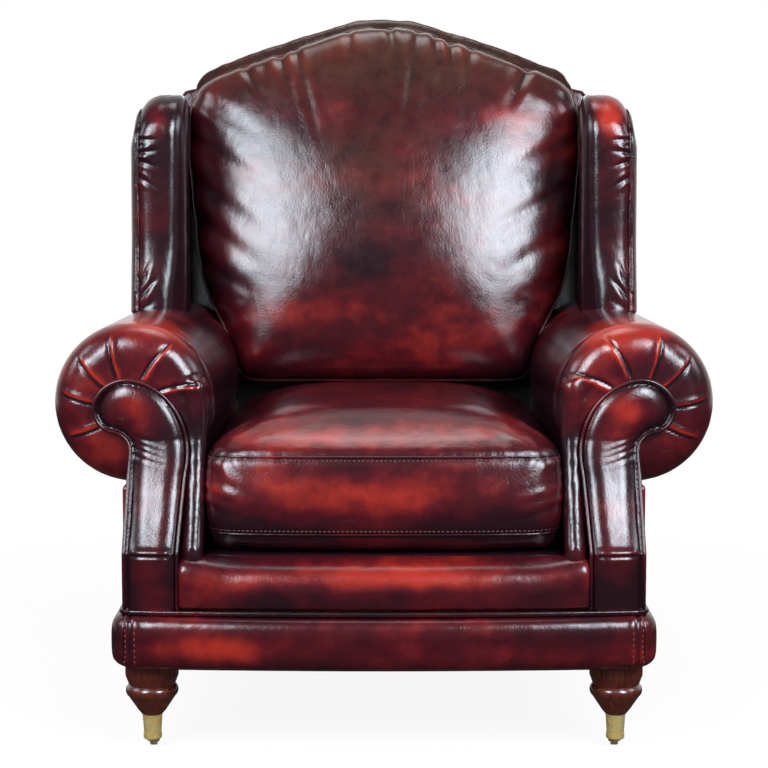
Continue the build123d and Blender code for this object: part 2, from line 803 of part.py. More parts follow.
# Flat outside panel under the roll
with BuildPart() as outside_arm:
    panel_x = back_half_width + seam_gap
    block(
        (panel_x, panel_x + arm_panel_thickness),
        (arm_front_y + arm_panel_setback, frame_rear + 2 * overrun),
        (cover_bottom, arm_axis_z - roll_radius - seam_gap),
    )
    split(bisect_by=back_plane(post_rear), keep=Keep.TOP)
write_pair(outside_arm, "outside_arm")


# Wings: a board screwed to the post, padded inside and over the front, with a flat outside panel
def wing_side(inset, bottom_z):
    """Draws the wing's side view, drawn in at the front and top by the inset."""
    top_z = wing_top_z - inset
    foot_share = (bottom_z - wing_bottom_z) / (wing_waist_z - wing_bottom_z)
    foot_y = wing_foot_y + foot_share * (wing_waist_y - wing_foot_y)
    waist_round = min(wing_waist_round, wing_waist_round_share * (wing_waist_z - bottom_z))
    with BuildLine() as outline:
        FilletPolyline(
            (foot_y + inset, bottom_z),
            (wing_waist_y + inset, wing_waist_z),
            (wing_brow_y + inset, top_z),
            (back_y(top_z, post_rear), top_z),
            (back_y(bottom_z, post_rear), bottom_z),
            radius=[0, waist_round, wing_brow_round - inset, 0, 0],
            close=True,
        )
    make_face(outline.edges())


with BuildPart() as wing_frame:
    with BuildSketch(Plane.YZ.offset(wing_board_x)):
        wing_side(wing_board_inset, wing_board_bottom)
    extrude(amount=wing_board)
write_pair(wing_frame, "wing_frame")

with BuildPart() as wing_form:
    with BuildSketch(Plane.YZ.offset(wing_inner_x)):
        wing_side(0, wing_bottom_z)
    extrude(amount=wing_outer_x - wing_inner_x)
    for face_index, edge_round in ((0, wing_inner_round), (-1, wing_outer_round)):
        rim = wing_form.faces().sort_by(Axis.X)[face_index].edges()
        front_rim = rim.sort_by(Axis.Z)[1:].sort_by(Axis.Y)[:-1]
        fillet(front_rim, radius=edge_round)

with BuildPart() as roll_space:
    with BuildSketch(Plane.XZ.offset(-front_y)):
        with Locations((arm_axis_x, arm_axis_z)):
            Circle(roll_radius + seam_gap)
    extrude(amount=-2 * chair_depth)

with BuildPart() as inside_wing:
    add(wing_form.part)
    split(bisect_by=Plane.YZ.offset(wing_seam_x), keep=Keep.BOTTOM)
    add(wing_frame.part, mode=Mode.SUBTRACT)
    add(roll_space.part, mode=Mode.SUBTRACT)
    with BuildSketch(back_plane(0)):
        with Locations((0, crest_v)):
            Rectangle(2 * back_half_width, 2 * crest_v)
    extrude(amount=-2 * back_rear, mode=Mode.SUBTRACT)
write_pair(inside_wing, "inside_wing")

with BuildPart() as outside_wing:
    add(wing_form.part)
    split(bisect_by=Plane.YZ.offset(wing_seam_x), keep=Keep.TOP)
    add(roll_space.part, mode=Mode.SUBTRACT)
write_pair(outside_wing, "outside_wing")

with BuildPart() as wing_piping:
    with BuildSketch(Plane.YZ.offset(wing_seam_x - wing_piping_half)):
        wing_side(wing_piping_lift, wing_bottom_z + roll_nose)
    extrude(amount=2 * wing_piping_half)
    add(wing_form.part, mode=Mode.SUBTRACT)
write_pair(wing_piping, "wing_piping")

# Inside back: a pad over the webbing that turns over the crest rail
with BuildPart() as inside_back:
    with BuildSketch(back_plane(back_pad)):
        camel_outline(back_half_width, back_v(back_pad_bottom, 0), back_half_width, 0)
    extrude(amount=back_pad)
    with BuildSketch(back_plane(post_rear)):
        camel_outline(back_half_width, crest_v, back_half_width, 0)
    extrude(amount=post_depth + 2 * webbing_thickness)
    add(crest_rail.part, mode=Mode.SUBTRACT)
    with BuildSketch(back_plane(post_front)):
        with Locations((0, crest_v)):
            Rectangle(2 * (post_inner + strap_overlap), 2 * strap_width)
    extrude(amount=2 * webbing_thickness, mode=Mode.SUBTRACT)
    add(arm_rail.part, mode=Mode.SUBTRACT)
    mirror(arm_rail.part, about=Plane.YZ, mode=Mode.SUBTRACT)
write(inside_back, "inside_back")

# Outside back: one flat panel from the band to the camel back
with BuildPart() as outside_back:
    with BuildSketch(back_plane(back_rear)):
        panel_foot_v = back_v(cover_bottom, back_rear)
        camel_outline(
            back_half_width + back_panel_head_spread,
            panel_foot_v,
            back_half_width + back_panel_foot_spread,
            0,
            back_panel_corner,
        )
    extrude(amount=back_panel)
    split(bisect_by=Plane.XY.offset(cover_bottom), keep=Keep.TOP)
write(outside_back, "outside_back")

# Back cushion: five outlines in planes that lean back more and more, so it thins towards the top.
# Each level gives its depth at the foot, its depth at the head and its scale.
pillow_depth = 168
pillow_levels_shares = ((0, 0, 0.94), (0.27, 0.21, 1), (0.68, 0.48, 1), (0.89, 0.63, 0.9), (1, 0.71, 0.62))
pillow_panel_share = pillow_levels_shares[2]
pillow_slope = 0.375
pillow_foot_v = back_v(pillow_foot_z, 0)
pillow_top_v = back_v(chair_height - pillow_piping_out, -pillow_panel_share[1] * pillow_depth)
pillow_height = hypot(
    pillow_top_v - pillow_foot_v, (pillow_panel_share[0] - pillow_panel_share[1]) * pillow_depth
)
# Corners of the right half, as shares of half-width and shoulder height, with the radius that rounds each.
# The last corner is the shoulder, where the side meets the slope of the peak.
pillow_ridge = camel_round * (1 / cos(atan2(pillow_slope, 1)) - 1)
pillow_shoulder_share = 0.99
pillow_shoulder_x = pillow_shoulder_share * pillow_half_width
pillow_shoulder_v = pillow_height + pillow_ridge - pillow_slope * pillow_shoulder_x
pillow_corner_shares = ((0.735, 0), (0.75, 0.11), (0.925, 0.323), (1, 0.742))
pillow_corners = [(x * pillow_half_width, v * pillow_shoulder_v) for x, v in pillow_corner_shares]
pillow_corners.append((pillow_shoulder_x, pillow_shoulder_v))
pillow_rounds = (28, 120, 220, 500, 60)


def pillow_plane(foot_share, head_share):
    """The plane of one cushion outline, from its depth shares at the foot and the head."""
    lean = back_tilt + atan2((foot_share - head_share) * pillow_depth, pillow_height)
    foot = back_plane(-foot_share * pillow_depth).from_local_coords((0, pillow_foot_v, 0))
    return Plane(origin=foot, x_dir=(1, 0, 0), z_dir=(0, -cos(lean), sin(lean)))


def pillow_outline(scale_share):
    """Draws the camel-backed cushion outline in the open sketch, scaled about its middle."""
    peak_round = camel_round * scale_share
    mirrored = [(-x, v) for x, v in reversed(pillow_corners)]
    points = [*pillow_corners, (0, pillow_height + pillow_ridge), *mirrored]
    middle = pillow_height / 2
    rounds = [r * scale_share for r in pillow_rounds]
    with BuildLine() as outline:
        FilletPolyline(
            *[(x * scale_share, middle + (v - middle) * scale_share) for x, v in points],
            radius=[*rounds, peak_round, *reversed(rounds)],
            close=True,
        )
    make_face(outline.edges())


with BuildPart() as back_cushion:
    for foot_share, head_share, scale_share in pillow_levels_shares:
        with BuildSketch(pillow_plane(foot_share, head_share)):
            pillow_outline(scale_share)
    loft(ruled=True)
    add(roll_space.part, mode=Mode.SUBTRACT)
    mirror(roll_space.part, about=Plane.YZ, mode=Mode.SUBTRACT)
write(back_cushion, "back_cushion")

with BuildPart() as back_cushion_piping:
    with BuildSketch(pillow_plane(*pillow_panel_share[:2])):
        pillow_outline(1)
        offset(amount=pillow_piping_out)
    extrude(amount=-pillow_piping_width)
    add(back_cushion.part, mode=Mode.SUBTRACT)
    add(roll_space.part, mode=Mode.SUBTRACT)
    mirror(roll_space.part, about=Plane.YZ, mode=Mode.SUBTRACT)
write(back_cushion_piping, "back_cushion_piping")
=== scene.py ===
# %% [markdown]
# A leather wing armchair, dressed over its construction model.
#
# The construction model already holds the frame, the legs, the castors and a plain solid for every
# stuffed piece. This lesson turns those solids into upholstery: leather that is pulled, pleated, piped
# and stitched. Everything is in metres, the chair faces -Y and stands on z = 0.

# %% Load the construction model
import json
import math
import bpy
import numpy as np
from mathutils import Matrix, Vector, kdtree


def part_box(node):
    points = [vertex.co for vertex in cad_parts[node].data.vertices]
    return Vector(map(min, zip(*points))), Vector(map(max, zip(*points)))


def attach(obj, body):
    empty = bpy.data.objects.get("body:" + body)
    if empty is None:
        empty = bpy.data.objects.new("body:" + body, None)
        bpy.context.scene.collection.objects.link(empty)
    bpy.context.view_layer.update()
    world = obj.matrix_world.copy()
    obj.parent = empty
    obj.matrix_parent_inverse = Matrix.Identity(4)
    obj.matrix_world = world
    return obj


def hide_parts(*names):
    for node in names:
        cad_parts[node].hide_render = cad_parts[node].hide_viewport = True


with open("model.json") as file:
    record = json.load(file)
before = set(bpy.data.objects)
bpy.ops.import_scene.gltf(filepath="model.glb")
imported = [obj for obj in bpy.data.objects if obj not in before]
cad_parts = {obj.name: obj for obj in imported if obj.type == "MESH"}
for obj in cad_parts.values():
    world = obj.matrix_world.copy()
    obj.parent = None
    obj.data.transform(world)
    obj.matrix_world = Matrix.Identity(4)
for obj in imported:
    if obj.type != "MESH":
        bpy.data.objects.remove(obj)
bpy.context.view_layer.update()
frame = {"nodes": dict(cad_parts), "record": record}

# %% [markdown]
# The camera comes first, because every later choice is judged through it. A product photograph of a
# chair is taken from a few metres away with a long lens, a little above the seat and tipped down
# slightly, so that the uprights stay nearly parallel.

# %% Camera
camera_distance = 3.0
camera_height = 0.77
camera_pitch = math.radians(5.663)
camera_lens = 90.43

bpy.ops.object.camera_add(
    location=(0, -camera_distance, camera_height), rotation=(math.pi / 2 - camera_pitch, 0, 0)
)
camera = bpy.context.object
camera.data.lens = camera_lens
bpy.context.scene.camera = camera
bpy.context.scene.view_settings.view_transform = "Standard"
print("the camera sees", round(math.degrees(camera.data.angle), 1), "degrees")

# %% [markdown]
# Materials come next. They could be built node by node in the shader editor, but shader maths is easier
# to read as Python. A Socket stands for one output of a node, and adding or multiplying sockets adds
# the Math nodes behind the scenes.


# %% Sockets
class Socket:
    """One output of a node. Arithmetic on it adds Math nodes to the same recipe."""

    def __init__(self, recipe, output):
        self.recipe = recipe
        self.output = output

    def maths(self, operation, *values):
        return self.recipe.node("ShaderNodeMath", {"operation": operation}, dict(enumerate(values)))

    def __add__(self, other):
        return self.maths("ADD", self, other)

    __radd__ = __add__

    def __mul__(self, other):
        return self.maths("MULTIPLY", self, other)

    __rmul__ = __mul__

    def __sub__(self, other):
        return self.maths("SUBTRACT", self, other)

    def __rsub__(self, other):
        return self.maths("SUBTRACT", other, self)

    def ramp(self, low, high):
        """0 below low, 1 above high and a smooth step between them."""
        values = {"Value": self, "From Min": low, "From Max": high}
        return self.recipe.node("ShaderNodeMapRange", {"interpolation_type": "SMOOTHSTEP"}, values)


print("a socket can add, subtract, multiply and ramp")

# %% [markdown]
# A Recipe holds the node tree of one finish, such as the leather or the brass. Its small methods are the
# few steps that all the finishes share: a place on the object, a painted value, noise, a mix of two
# colours, and the finished surface. That keeps each finish down to a handful of lines.


# %% Recipes
class Recipe:
    """The node tree of one material or of the world."""

    def __init__(self, owner):
        owner.use_nodes = True
        self.tree = owner.node_tree
        self.tree.nodes.clear()

    def node(self, kind, settings=None, values=None, output=0):
        """Adds a node, sets it up, fills its sockets with numbers or links, and gives one output."""
        made = self.tree.nodes.new(kind)
        for name, value in (settings or {}).items():
            setattr(made, name, value)
        for name, value in (values or {}).items():
            if isinstance(value, Socket):
                self.tree.links.new(value.output, made.inputs[name])
            else:
                made.inputs[name].default_value = value
        return Socket(self, made.outputs[output]) if len(made.outputs) else None

    def place(self):
        return self.node("ShaderNodeTexCoord", output="Object")

    def attribute(self, name):
        return self.node("ShaderNodeAttribute", {"attribute_name": name}, output="Fac")

    def noise(self, where, scale, detail=3.0, roughness=0.5):
        values = {"Vector": where, "Scale": scale, "Detail": detail, "Roughness": roughness}
        return self.node("ShaderNodeTexNoise", {"noise_dimensions": "3D"}, values)

    def stretched(self, where, turn, scale):
        """The place, turned and then stretched, for grain and scratches that run one way."""
        return self.node("ShaderNodeMapping", {}, {"Vector": where, "Rotation": turn, "Scale": scale})

    def mix(self, factor, first, second):
        """A colour between two colours."""
        return self.node("ShaderNodeMix", {"data_type": "RGBA"}, {0: factor, 6: first, 7: second}, output=2)

    def bump(self, height, depth):
        return self.node("ShaderNodeBump", {}, {"Height": height, "Distance": depth})

    def surface(self, **values):
        """A Principled shader as the finished surface. Underlines in the names stand for spaces."""
        sockets = {name.replace("_", " "): value for name, value in values.items()}
        shader = self.node("ShaderNodeBsdfPrincipled", {}, sockets)
        self.node("ShaderNodeOutputMaterial", {}, {"Surface": shader})


finishes = {}


def material(name):
    """Starts a new finish and gives the recipe that fills it."""
    finishes[name] = bpy.data.materials.new(name)
    return Recipe(finishes[name])


print("recipes are ready")

# %% [markdown]
# The studio starts with what surrounds the chair. It is white only where it is behind the object, and
# the room on the camera's side is dim, because glossy leather would mirror a white room everywhere and
# lose its depth. One plain world colour can't do both, so the strength is mixed by the kind of ray.

# %% Surround
backdrop_strength = 1.0
room_dim = 0.13
room_light = 0.34
room_behind = (0.15, 0.8)
plain_white = (1, 1, 1, 1)

world = bpy.data.worlds.new("studio")
bpy.context.scene.world = world
recipe = Recipe(world)
rays = recipe.node("ShaderNodeLightPath", output="Is Camera Ray")
kinds = rays.output.node.outputs
mirrored = Socket(recipe, kinds["Is Glossy Ray"]) + Socket(recipe, kinds["Is Transmission Ray"])
direction = recipe.node("ShaderNodeTexCoord", output="Generated")
along = recipe.node("ShaderNodeSeparateXYZ", {}, {"Vector": direction}, output="Y")
seen_in_gloss = room_dim + along.ramp(*room_behind) * (backdrop_strength - room_dim)
dull = room_light * (1 - mirrored) + seen_in_gloss * mirrored
strength = rays * backdrop_strength + (1 - rays) * dull
background = recipe.node("ShaderNodeBackground", {}, {"Color": plain_white, "Strength": strength})
recipe.node("ShaderNodeOutputWorld", {}, {"Surface": background})
print("the surround:", len(recipe.tree.nodes), "nodes")

# %% [markdown]
# The floor keeps the chair's shadow near its feet and fades to white further out, so that no horizon
# shows. A studio hangs a long paper sweep for this. Here it is one flat plane whose material does the
# fading, and which looks dark to the glossy leather, so that the lower bands don't go milky.

# %% Floor
floor_half = 3.0
floor_fade = (0.75, 1.6)
floor_grey = (0.07, 0.07, 0.07, 1)
floor_glow = 0.91
floor_bounce = (0.35, 0.35, 0.35, 1)
floor_in_gloss = 0.04

recipe = material("studio_floor")
rays = recipe.node("ShaderNodeLightPath", output="Is Camera Ray")
distance = recipe.node("ShaderNodeVectorMath", {"operation": "LENGTH"}, {0: recipe.place()}, output="Value")
far = distance.ramp(*floor_fade)
shadowed = recipe.node("ShaderNodeBsdfDiffuse", {}, {"Color": floor_grey})
glow = recipe.node("ShaderNodeEmission", {}, {"Color": plain_white, "Strength": floor_glow})
near_floor = recipe.node("ShaderNodeAddShader", {}, {0: shadowed, 1: glow})
white = recipe.node("ShaderNodeEmission", {}, {"Color": plain_white, "Strength": backdrop_strength})
seen = recipe.node("ShaderNodeMixShader", {}, {0: far, 1: near_floor, 2: white})
plain = recipe.node("ShaderNodeBsdfDiffuse", {}, {"Color": floor_bounce})
mirrored = Socket(recipe, rays.output.node.outputs["Is Glossy Ray"])
dark_floor = recipe.node("ShaderNodeEmission", {}, {"Color": plain_white, "Strength": floor_in_gloss})
unseen = recipe.node("ShaderNodeMixShader", {}, {0: mirrored, 1: plain, 2: dark_floor})
both = recipe.node("ShaderNodeMixShader", {}, {0: rays, 1: unseen, 2: seen})
recipe.node("ShaderNodeOutputMaterial", {}, {"Surface": both})

bpy.ops.object.select_all(action="DESELECT")
bpy.ops.mesh.primitive_plane_add(size=2 * floor_half)
floor = bpy.context.object
floor.name = "floor"
floor.data.materials.append(finishes["studio_floor"])
print("the floor is", 2 * floor_half, "m wide")

# %% [markdown]
# Polished leather is lit by what it mirrors. Two tall soft boxes stand in front, high on either side, and
# give the long highlights on the cushions and the arms. Two weaker ones fill the sides, and one overhead
# and one behind lift the top edges. A bare area lamp mirrors with a hard edge, so each box is three
# ovals inside each other.

# %% Lamps
softbox_layers = (1.0, 0.72, 0.42)
softbox_step = 0.02
cool = (0.84, 0.91, 1.0)
neutral = (1.0, 1.0, 1.0)


def softbox(name, place, aim, size, glow, tint):
    """Adds an oval lamp aimed at a point. Three ovals inside each other give it a soft edge."""
    toward = [a - p for a, p in zip(aim, place)]
    turn = math.atan2(-toward[0], toward[1])
    tip = math.atan2(math.hypot(toward[0], toward[1]), -toward[2])
    for i, share in enumerate(softbox_layers):
        nearer = [p + softbox_step * i * t for p, t in zip(place, toward)]
        bpy.ops.object.light_add(type="AREA", location=nearer, rotation=(tip, 0, turn))
        lamp = bpy.context.object
        lamp.name = f"{name}_{i}"
        lamp.data.shape = "ELLIPSE"
        lamp.data.size = size[0] * share
        lamp.data.size_y = size[1] * share
        area = math.pi / 4 * lamp.data.size * lamp.data.size_y
        lamp.data.energy = glow / len(softbox_layers) * math.pi * area
        lamp.data.color = tint


softbox("left_softbox", (-1.42, -2.25, 2.0), (-0.1, 0, 0.65), (1.35, 2.1), 24, cool)
softbox("right_softbox", (1.42, -2.25, 2.0), (0.1, 0, 0.65), (1.35, 2.1), 28, cool)
softbox("side_left_softbox", (-2.7, -0.6, 2.0), (-0.3, 0, 0.6), (1.5, 1.5), 8, cool)
softbox("side_right_softbox", (2.7, -0.6, 2.0), (0.3, 0, 0.6), (1.5, 1.5), 8, cool)
softbox("overhead_softbox", (0, 0.2, 2.9), (0, 0, 0.6), (1.7, 1.3), 5, neutral)
softbox("rear_softbox", (0, 2.6, 1.7), (0, 0.2, 0.6), (2.0, 1.3), 2, neutral)

# %% [markdown]
# The leather is a hand-antiqued oxblood hide. The tanner wipes a near-black glaze over red leather and
# rubs it off the high places, so the colour tells where the hide is stretched over padding and where it
# turns into a seam. A photograph of leather can't know that, so three values painted on each mesh
# carry the story: "rub" is where the glaze has gone, and along the pleats and one welt also a painted
# highlight, "shade" is where it stays, and in the deep recesses also painted shade, and "olive" is
# where it has worn to a greenish brown. Soft noise breaks them up. First come the colours and the hide's
# relief.

# %% The hide's colours and relief
glaze_dark = (0.0110, 0.0026, 0.0048, 1)
glaze_mid = (0.046, 0.0029, 0.0056, 1)
rubbed_red = (0.250, 0.0150, 0.0074, 1)
olive_worn = (0.046, 0.0210, 0.0105, 1)
scratch_pale = (0.20, 0.08, 0.055, 1)
patch_scale, patch_weight = 6.5, 2.1
mottle_scale, mottle_weight = 34, 0.7
glaze_level = 0.30
middle_range = (-0.15, 0.55)
rubbed_range = (0.35, 1.25)
scratch_strength = 0.3
pebble_scale, pebble_height = 340, 0.065
crease_scale, crease_height = 210, 0.038
crease_shift = 0.003
uneven_scale, uneven_height = 17, 1.3
wrinkle_height = 0.42
hide_depth = 0.001


def hide_relief(recipe, place):
    """The leather's own surface: a fine pebble, thin creases, a slow unevenness and soft wrinkles."""
    warp = recipe.noise(place, 60, 2.0)
    pebble = recipe.node("ShaderNodeTexVoronoi", {"feature": "F1"}, {"Vector": place, "Scale": pebble_scale})
    shifted = recipe.node("ShaderNodeVectorMath", {"operation": "ADD"}, {0: place, 1: warp * crease_shift})
    values = {"Vector": shifted, "Scale": crease_scale}
    crease = recipe.node("ShaderNodeTexVoronoi", {"feature": "DISTANCE_TO_EDGE"}, values).ramp(0.0, 0.14)
    uneven = recipe.noise(place, uneven_scale, 2.0)
    wrinkle = recipe.noise(recipe.stretched(place, (0, 0.5, 0), (55, 55, 26)), 1.0, 3.0, 0.5)
    fine = pebble * pebble_height + crease * crease_height
    return fine + uneven * uneven_height + wrinkle * wrinkle_height


print("the relief is worked out at", hide_depth * 1000, "mm")

# %% [markdown]
# The leather itself: glaze over red, worn through by the painted values and by patches of noise, with
# pale scratches where it is rubbed most. The upholstery and the piping are cut from the same hide, and
# the piping takes more glaze, so both come from one function.


# %% Leather
def leather(name, redness=0.0, gloss=0.19):
    """Antiqued leather. Redness moves the whole hide towards the rubbed colour."""
    recipe = material(name)
    place = recipe.place()
    rub, shade, olive = (recipe.attribute(layer) for layer in ("rub", "shade", "olive"))
    drawn = recipe.stretched(place, (0, 0.12, 0), (0.8, 1, 1.5))
    patches = (recipe.noise(drawn, patch_scale, 3.0, 0.55) - 0.5) * patch_weight
    mottle = recipe.noise(place, mottle_scale, 4.0, 0.6)
    worn = patches + (mottle - 0.5) * mottle_weight + rub - shade + (glaze_level + redness)
    rubbed = worn.ramp(*rubbed_range)
    glazed = recipe.mix(worn.ramp(*middle_range), glaze_dark, glaze_mid)
    hide = recipe.mix(rubbed, glazed, rubbed_red)
    tinted = recipe.mix(olive * (mottle * 1.6 - 0.1), hide, olive_worn)
    scratch_place = recipe.stretched(place, (0.35, 0.2, 0.5), (14, 240, 90))
    scratches = recipe.noise(scratch_place, 1.0, 2.0).ramp(0.70, 0.76)
    recipe.surface(
        Base_Color=recipe.mix(scratches * rub * scratch_strength, tinted, scratch_pale),
        Roughness=gloss + (mottle - 0.5) * 0.12 + rubbed * 0.03,
        Specular_IOR_Level=0.5,
        Normal=recipe.bump(hide_relief(recipe, place), hide_depth),
    )


leather("oxblood_leather")
leather("piping_leather", redness=-0.15, gloss=0.2)
print("leathers:", [name for name in finishes if name.endswith("leather")])

# %% [markdown]
# The turned legs are mahogany, stained red-brown and polished, and the castors are brass that has gone
# dull in its corners. A photograph of wood would repeat and smear round the turning, so the grain is a
# noise stretched along the leg, which runs through the timber as real grain does. The pores are the
# same noise, finer.


# %% Wood and metal
def wood(name, dark, light, gloss, coat, grain=(60, 60, 5)):
    """Timber with grain that runs up the piece."""
    recipe = material(name)
    place = recipe.place()
    along = recipe.stretched(place, (0, 0, 0), grain)
    figure = recipe.noise(along, 2.0, 5.0, 0.65)
    pores = recipe.noise(along, 14.0, 2.0).ramp(0.55, 0.7)
    colour = recipe.mix(figure.ramp(0.3, 0.7), dark, light)
    recipe.surface(
        Base_Color=recipe.mix(pores * 0.35, colour, dark),
        Roughness=gloss + figure * 0.12,
        Coat_Weight=coat,
        Coat_Roughness=0.08,
        Normal=recipe.bump(figure * 0.25 - pores * 0.2, 0.0004),
    )


def metal(name, bright, tarnish, roughness):
    """Metal with tarnish in soft patches and fine rub marks."""
    recipe = material(name)
    place = recipe.place()
    dull = recipe.noise(place, 90, 4.0).ramp(0.42, 0.68)
    rubs = recipe.noise(recipe.stretched(place, (0, 0, 0.4), (900, 900, 60)), 1.0, 2.0)
    recipe.surface(
        Base_Color=recipe.mix(dull, bright, tarnish),
        Metallic=0.72,
        Roughness=roughness + dull * 0.18 + (rubs - 0.5) * 0.1,
        Normal=recipe.bump(rubs * 0.3 + dull * 0.4, 0.0002),
    )


wood("mahogany", (0.040, 0.0065, 0.0032, 1), (0.088, 0.0145, 0.0062, 1), 0.18, 0.6, (90, 90, 9))
wood("beech_frame", (0.42, 0.27, 0.15, 1), (0.62, 0.44, 0.27, 1), 0.55, 0.0)
wood("plywood", (0.50, 0.36, 0.21, 1), (0.68, 0.52, 0.34, 1), 0.6, 0.0, (60, 5, 60))
metal("aged_brass", (0.88, 0.68, 0.27, 1), (0.72, 0.48, 0.17, 1), 0.30)
metal("steel", (0.52, 0.52, 0.53, 1), (0.30, 0.29, 0.28, 1), 0.32)
print("woods and metals are ready")

# %% [markdown]
# Inside the chair are jute webbing, hessian and a black dust cover, all plain weaves. The threads could
# be modelled one by one, but they are far too many, so two bands of waves cross at right angles and the
# higher one wins, which is how one thread passes over another. After that every construction piece gets
# the finish that the record names for it.


# %% Cloth, and the finishes of the construction pieces
wave_band = 0.314


def cloth(name, thread, gap, pitch, coarse):
    """A plain weave: two sets of threads cross at right angles, at the given pitch in metres."""
    recipe = material(name)
    place = recipe.place()
    threads = []
    for turn in ((0, 0, 0), (0, 0, math.pi / 2)):
        crossed = recipe.stretched(place, turn, (1, 1, 1))
        values = {"Vector": crossed, "Scale": wave_band / pitch, "Distortion": coarse}
        settings = {"wave_type": "BANDS", "bands_direction": "X"}
        threads.append(recipe.node("ShaderNodeTexWave", settings, values, output="Fac"))
    height = threads[0].maths("MAXIMUM", *threads)
    fuzz = recipe.noise(place, 400, 3.0)
    recipe.surface(
        Base_Color=recipe.mix(height * (fuzz * 0.6 + 0.55), gap, thread),
        Roughness=0.85 + (fuzz - 0.5) * 0.1,
        Normal=recipe.bump(height + fuzz * 0.3, 0.0005),
    )


cloth("jute_webbing", (0.52, 0.40, 0.24, 1), (0.20, 0.14, 0.07, 1), 0.004, 1.0)
cloth("hessian", (0.56, 0.44, 0.28, 1), (0.18, 0.13, 0.07, 1), 0.0025, 2.0)
cloth("black_cloth", (0.022, 0.022, 0.024, 1), (0.004, 0.004, 0.005, 1), 0.0012, 0.5)
for row in frame["record"]["subparts"]:
    node = frame["nodes"][row["node"]]
    node.data.materials.clear()
    node.data.materials.append(finishes[row["material_slot"]])
print("construction pieces finished:", len(frame["nodes"]))

# %% [markdown]
# Every stuffed piece starts from its plain construction solid, so it sits exactly where the frame
# carries it. A copy is merged into one skin, remeshed into small even quads and relaxed, which turns
# hard edges into the soft turns of leather over wadding. Modelling the pads afresh would give
# cleaner faces, but they would have to be fitted to the frame again one by one.


# %% Padding
def only(piece):
    """Selects one object and nothing else."""
    bpy.ops.object.select_all(action="DESELECT")
    piece.select_set(True)
    bpy.context.view_layer.objects.active = piece


def put_in_scene(name, data):
    """Makes an object of a mesh or a curve, puts it in the scene and selects nothing else."""
    made = bpy.data.objects.new(name, data)
    bpy.context.scene.collection.objects.link(made)
    only(made)
    return made


def padding(name, node, cell, relax, wads=()):
    """A relaxed, evenly meshed copy of a construction solid, with balls of extra wadding worked in."""
    pad = put_in_scene(name, frame["nodes"][node].data.copy())
    bpy.ops.mesh.customdata_custom_splitnormals_clear()
    bpy.ops.object.mode_set(mode="EDIT")
    bpy.ops.mesh.select_all(action="SELECT")
    bpy.ops.mesh.remove_doubles(threshold=1e-5)
    for centre, radius in wads:
        bpy.ops.mesh.primitive_uv_sphere_add(segments=24, ring_count=16, radius=radius, location=centre)
    bpy.ops.object.mode_set(mode="OBJECT")
    pad.data.remesh_voxel_size = cell
    pad.data.remesh_voxel_adaptivity = 0
    bpy.ops.object.voxel_remesh()
    smooth = pad.modifiers.new("relax", "SMOOTH")
    smooth.factor = 0.5
    smooth.iterations = relax
    bpy.ops.object.modifier_apply(modifier="relax")
    return pad


print("pads can be cut from", len(frame["nodes"]), "construction pieces")

# %% [markdown]
# After that the points of a pad can be pressed and pulled in code like dough, which is how the seams,
# pleats and puckers are made. Sculpting by hand would do, but a number can be changed and run again.
# These tools read the points, put them back, average over neighbours and measure how far a line is.


# %% The points of a pad
def points_of(piece):
    """The places and the outward directions of a mesh's points."""
    count = len(piece.data.vertices)
    places = np.empty(count * 3)
    normals = np.empty(count * 3)
    piece.data.vertices.foreach_get("co", places)
    piece.data.vertices.foreach_get("normal", normals)
    return places.reshape(-1, 3), normals.reshape(-1, 3)


def move_points(piece, places):
    """Puts a mesh's points at new places."""
    piece.data.vertices.foreach_set("co", places.ravel())
    piece.data.update()


def neighbour_mean(piece, values, rounds):
    """Averages values over neighbouring points, several times."""
    edges = np.empty(len(piece.data.edges) * 2, int)
    piece.data.edges.foreach_get("vertices", edges)
    a, b = edges.reshape(-1, 2).T
    count = len(values)
    share = np.maximum(np.bincount(a, minlength=count) + np.bincount(b, minlength=count), 1)
    flat = values.reshape(count, -1).astype(float)
    for _ in range(rounds):
        columns = []
        for column in flat.T:
            total = np.bincount(a, column[b], count) + np.bincount(b, column[a], count)
            columns.append(total / share)
        flat = 0.5 * flat + 0.5 * np.stack(columns, axis=1)
    return flat.reshape(values.shape)


def distance_to(places, line):
    """How far each place is from the nearest point of a line of points, and which point that is."""
    tree = kdtree.KDTree(len(line))
    for i, point in enumerate(line):
        tree.insert(point, i)
    tree.balance()
    found = [tree.find(p) for p in places]
    return np.array([f[2] for f in found]), np.array([f[1] for f in found])


print("point tools are ready")

# %% [markdown]
# Leather never starts or stops sharply, so every push fades in and out by one of two curves: a smooth
# step from one level to another, or a hump that dies away on both sides. The same curves are painted
# on the mesh where they choose a colour.


# %% Smooth steps, humps and paint
def ease(values, low, high):
    """0 below low, 1 above high and a smooth step between them."""
    t = np.clip((values - low) / (high - low), 0, 1)
    return t * t * (3 - 2 * t)


def hump(values, width):
    """1 at zero, falling off smoothly on both sides over the given width."""
    return np.exp(-((values / width) ** 2))


def paint(piece, name, values):
    """Writes one value for each point, which the leather's material reads by name."""
    layer = piece.data.attributes.get(name) or piece.data.attributes.new(name, "FLOAT", "POINT")
    layer.data.foreach_set("value", np.asarray(values, np.float32))


print("a hump one width from its middle is", round(float(hump(1.0, 1.0)), 2))

# %% [markdown]
# The glaze follows the shape: it is rubbed off where the surface stands out and stays where it dips or
# meets a seam. "finish_hide" measures how far each point stands out from its surroundings, adds the
# listed rubbed places, where a negative strength is painted shade in a recess, and puts the leather on.


# %% Finishing a hide
wear_reach = 14
wear_height = 0.0022
relief_cap = 1.6
rub_on_high = 0.35
shade_in_low = 0.5
shade_at_seam = 0.6
seam_shade_reach = 0.02


def on_side(across, rubs):
    """The rubbed places, and the places of painted shade, given for the right side, for the right, 1, or the
    left, -1.
    """
    return [((across * x, y, z), size, strength) for (x, y, z), size, strength in rubs]


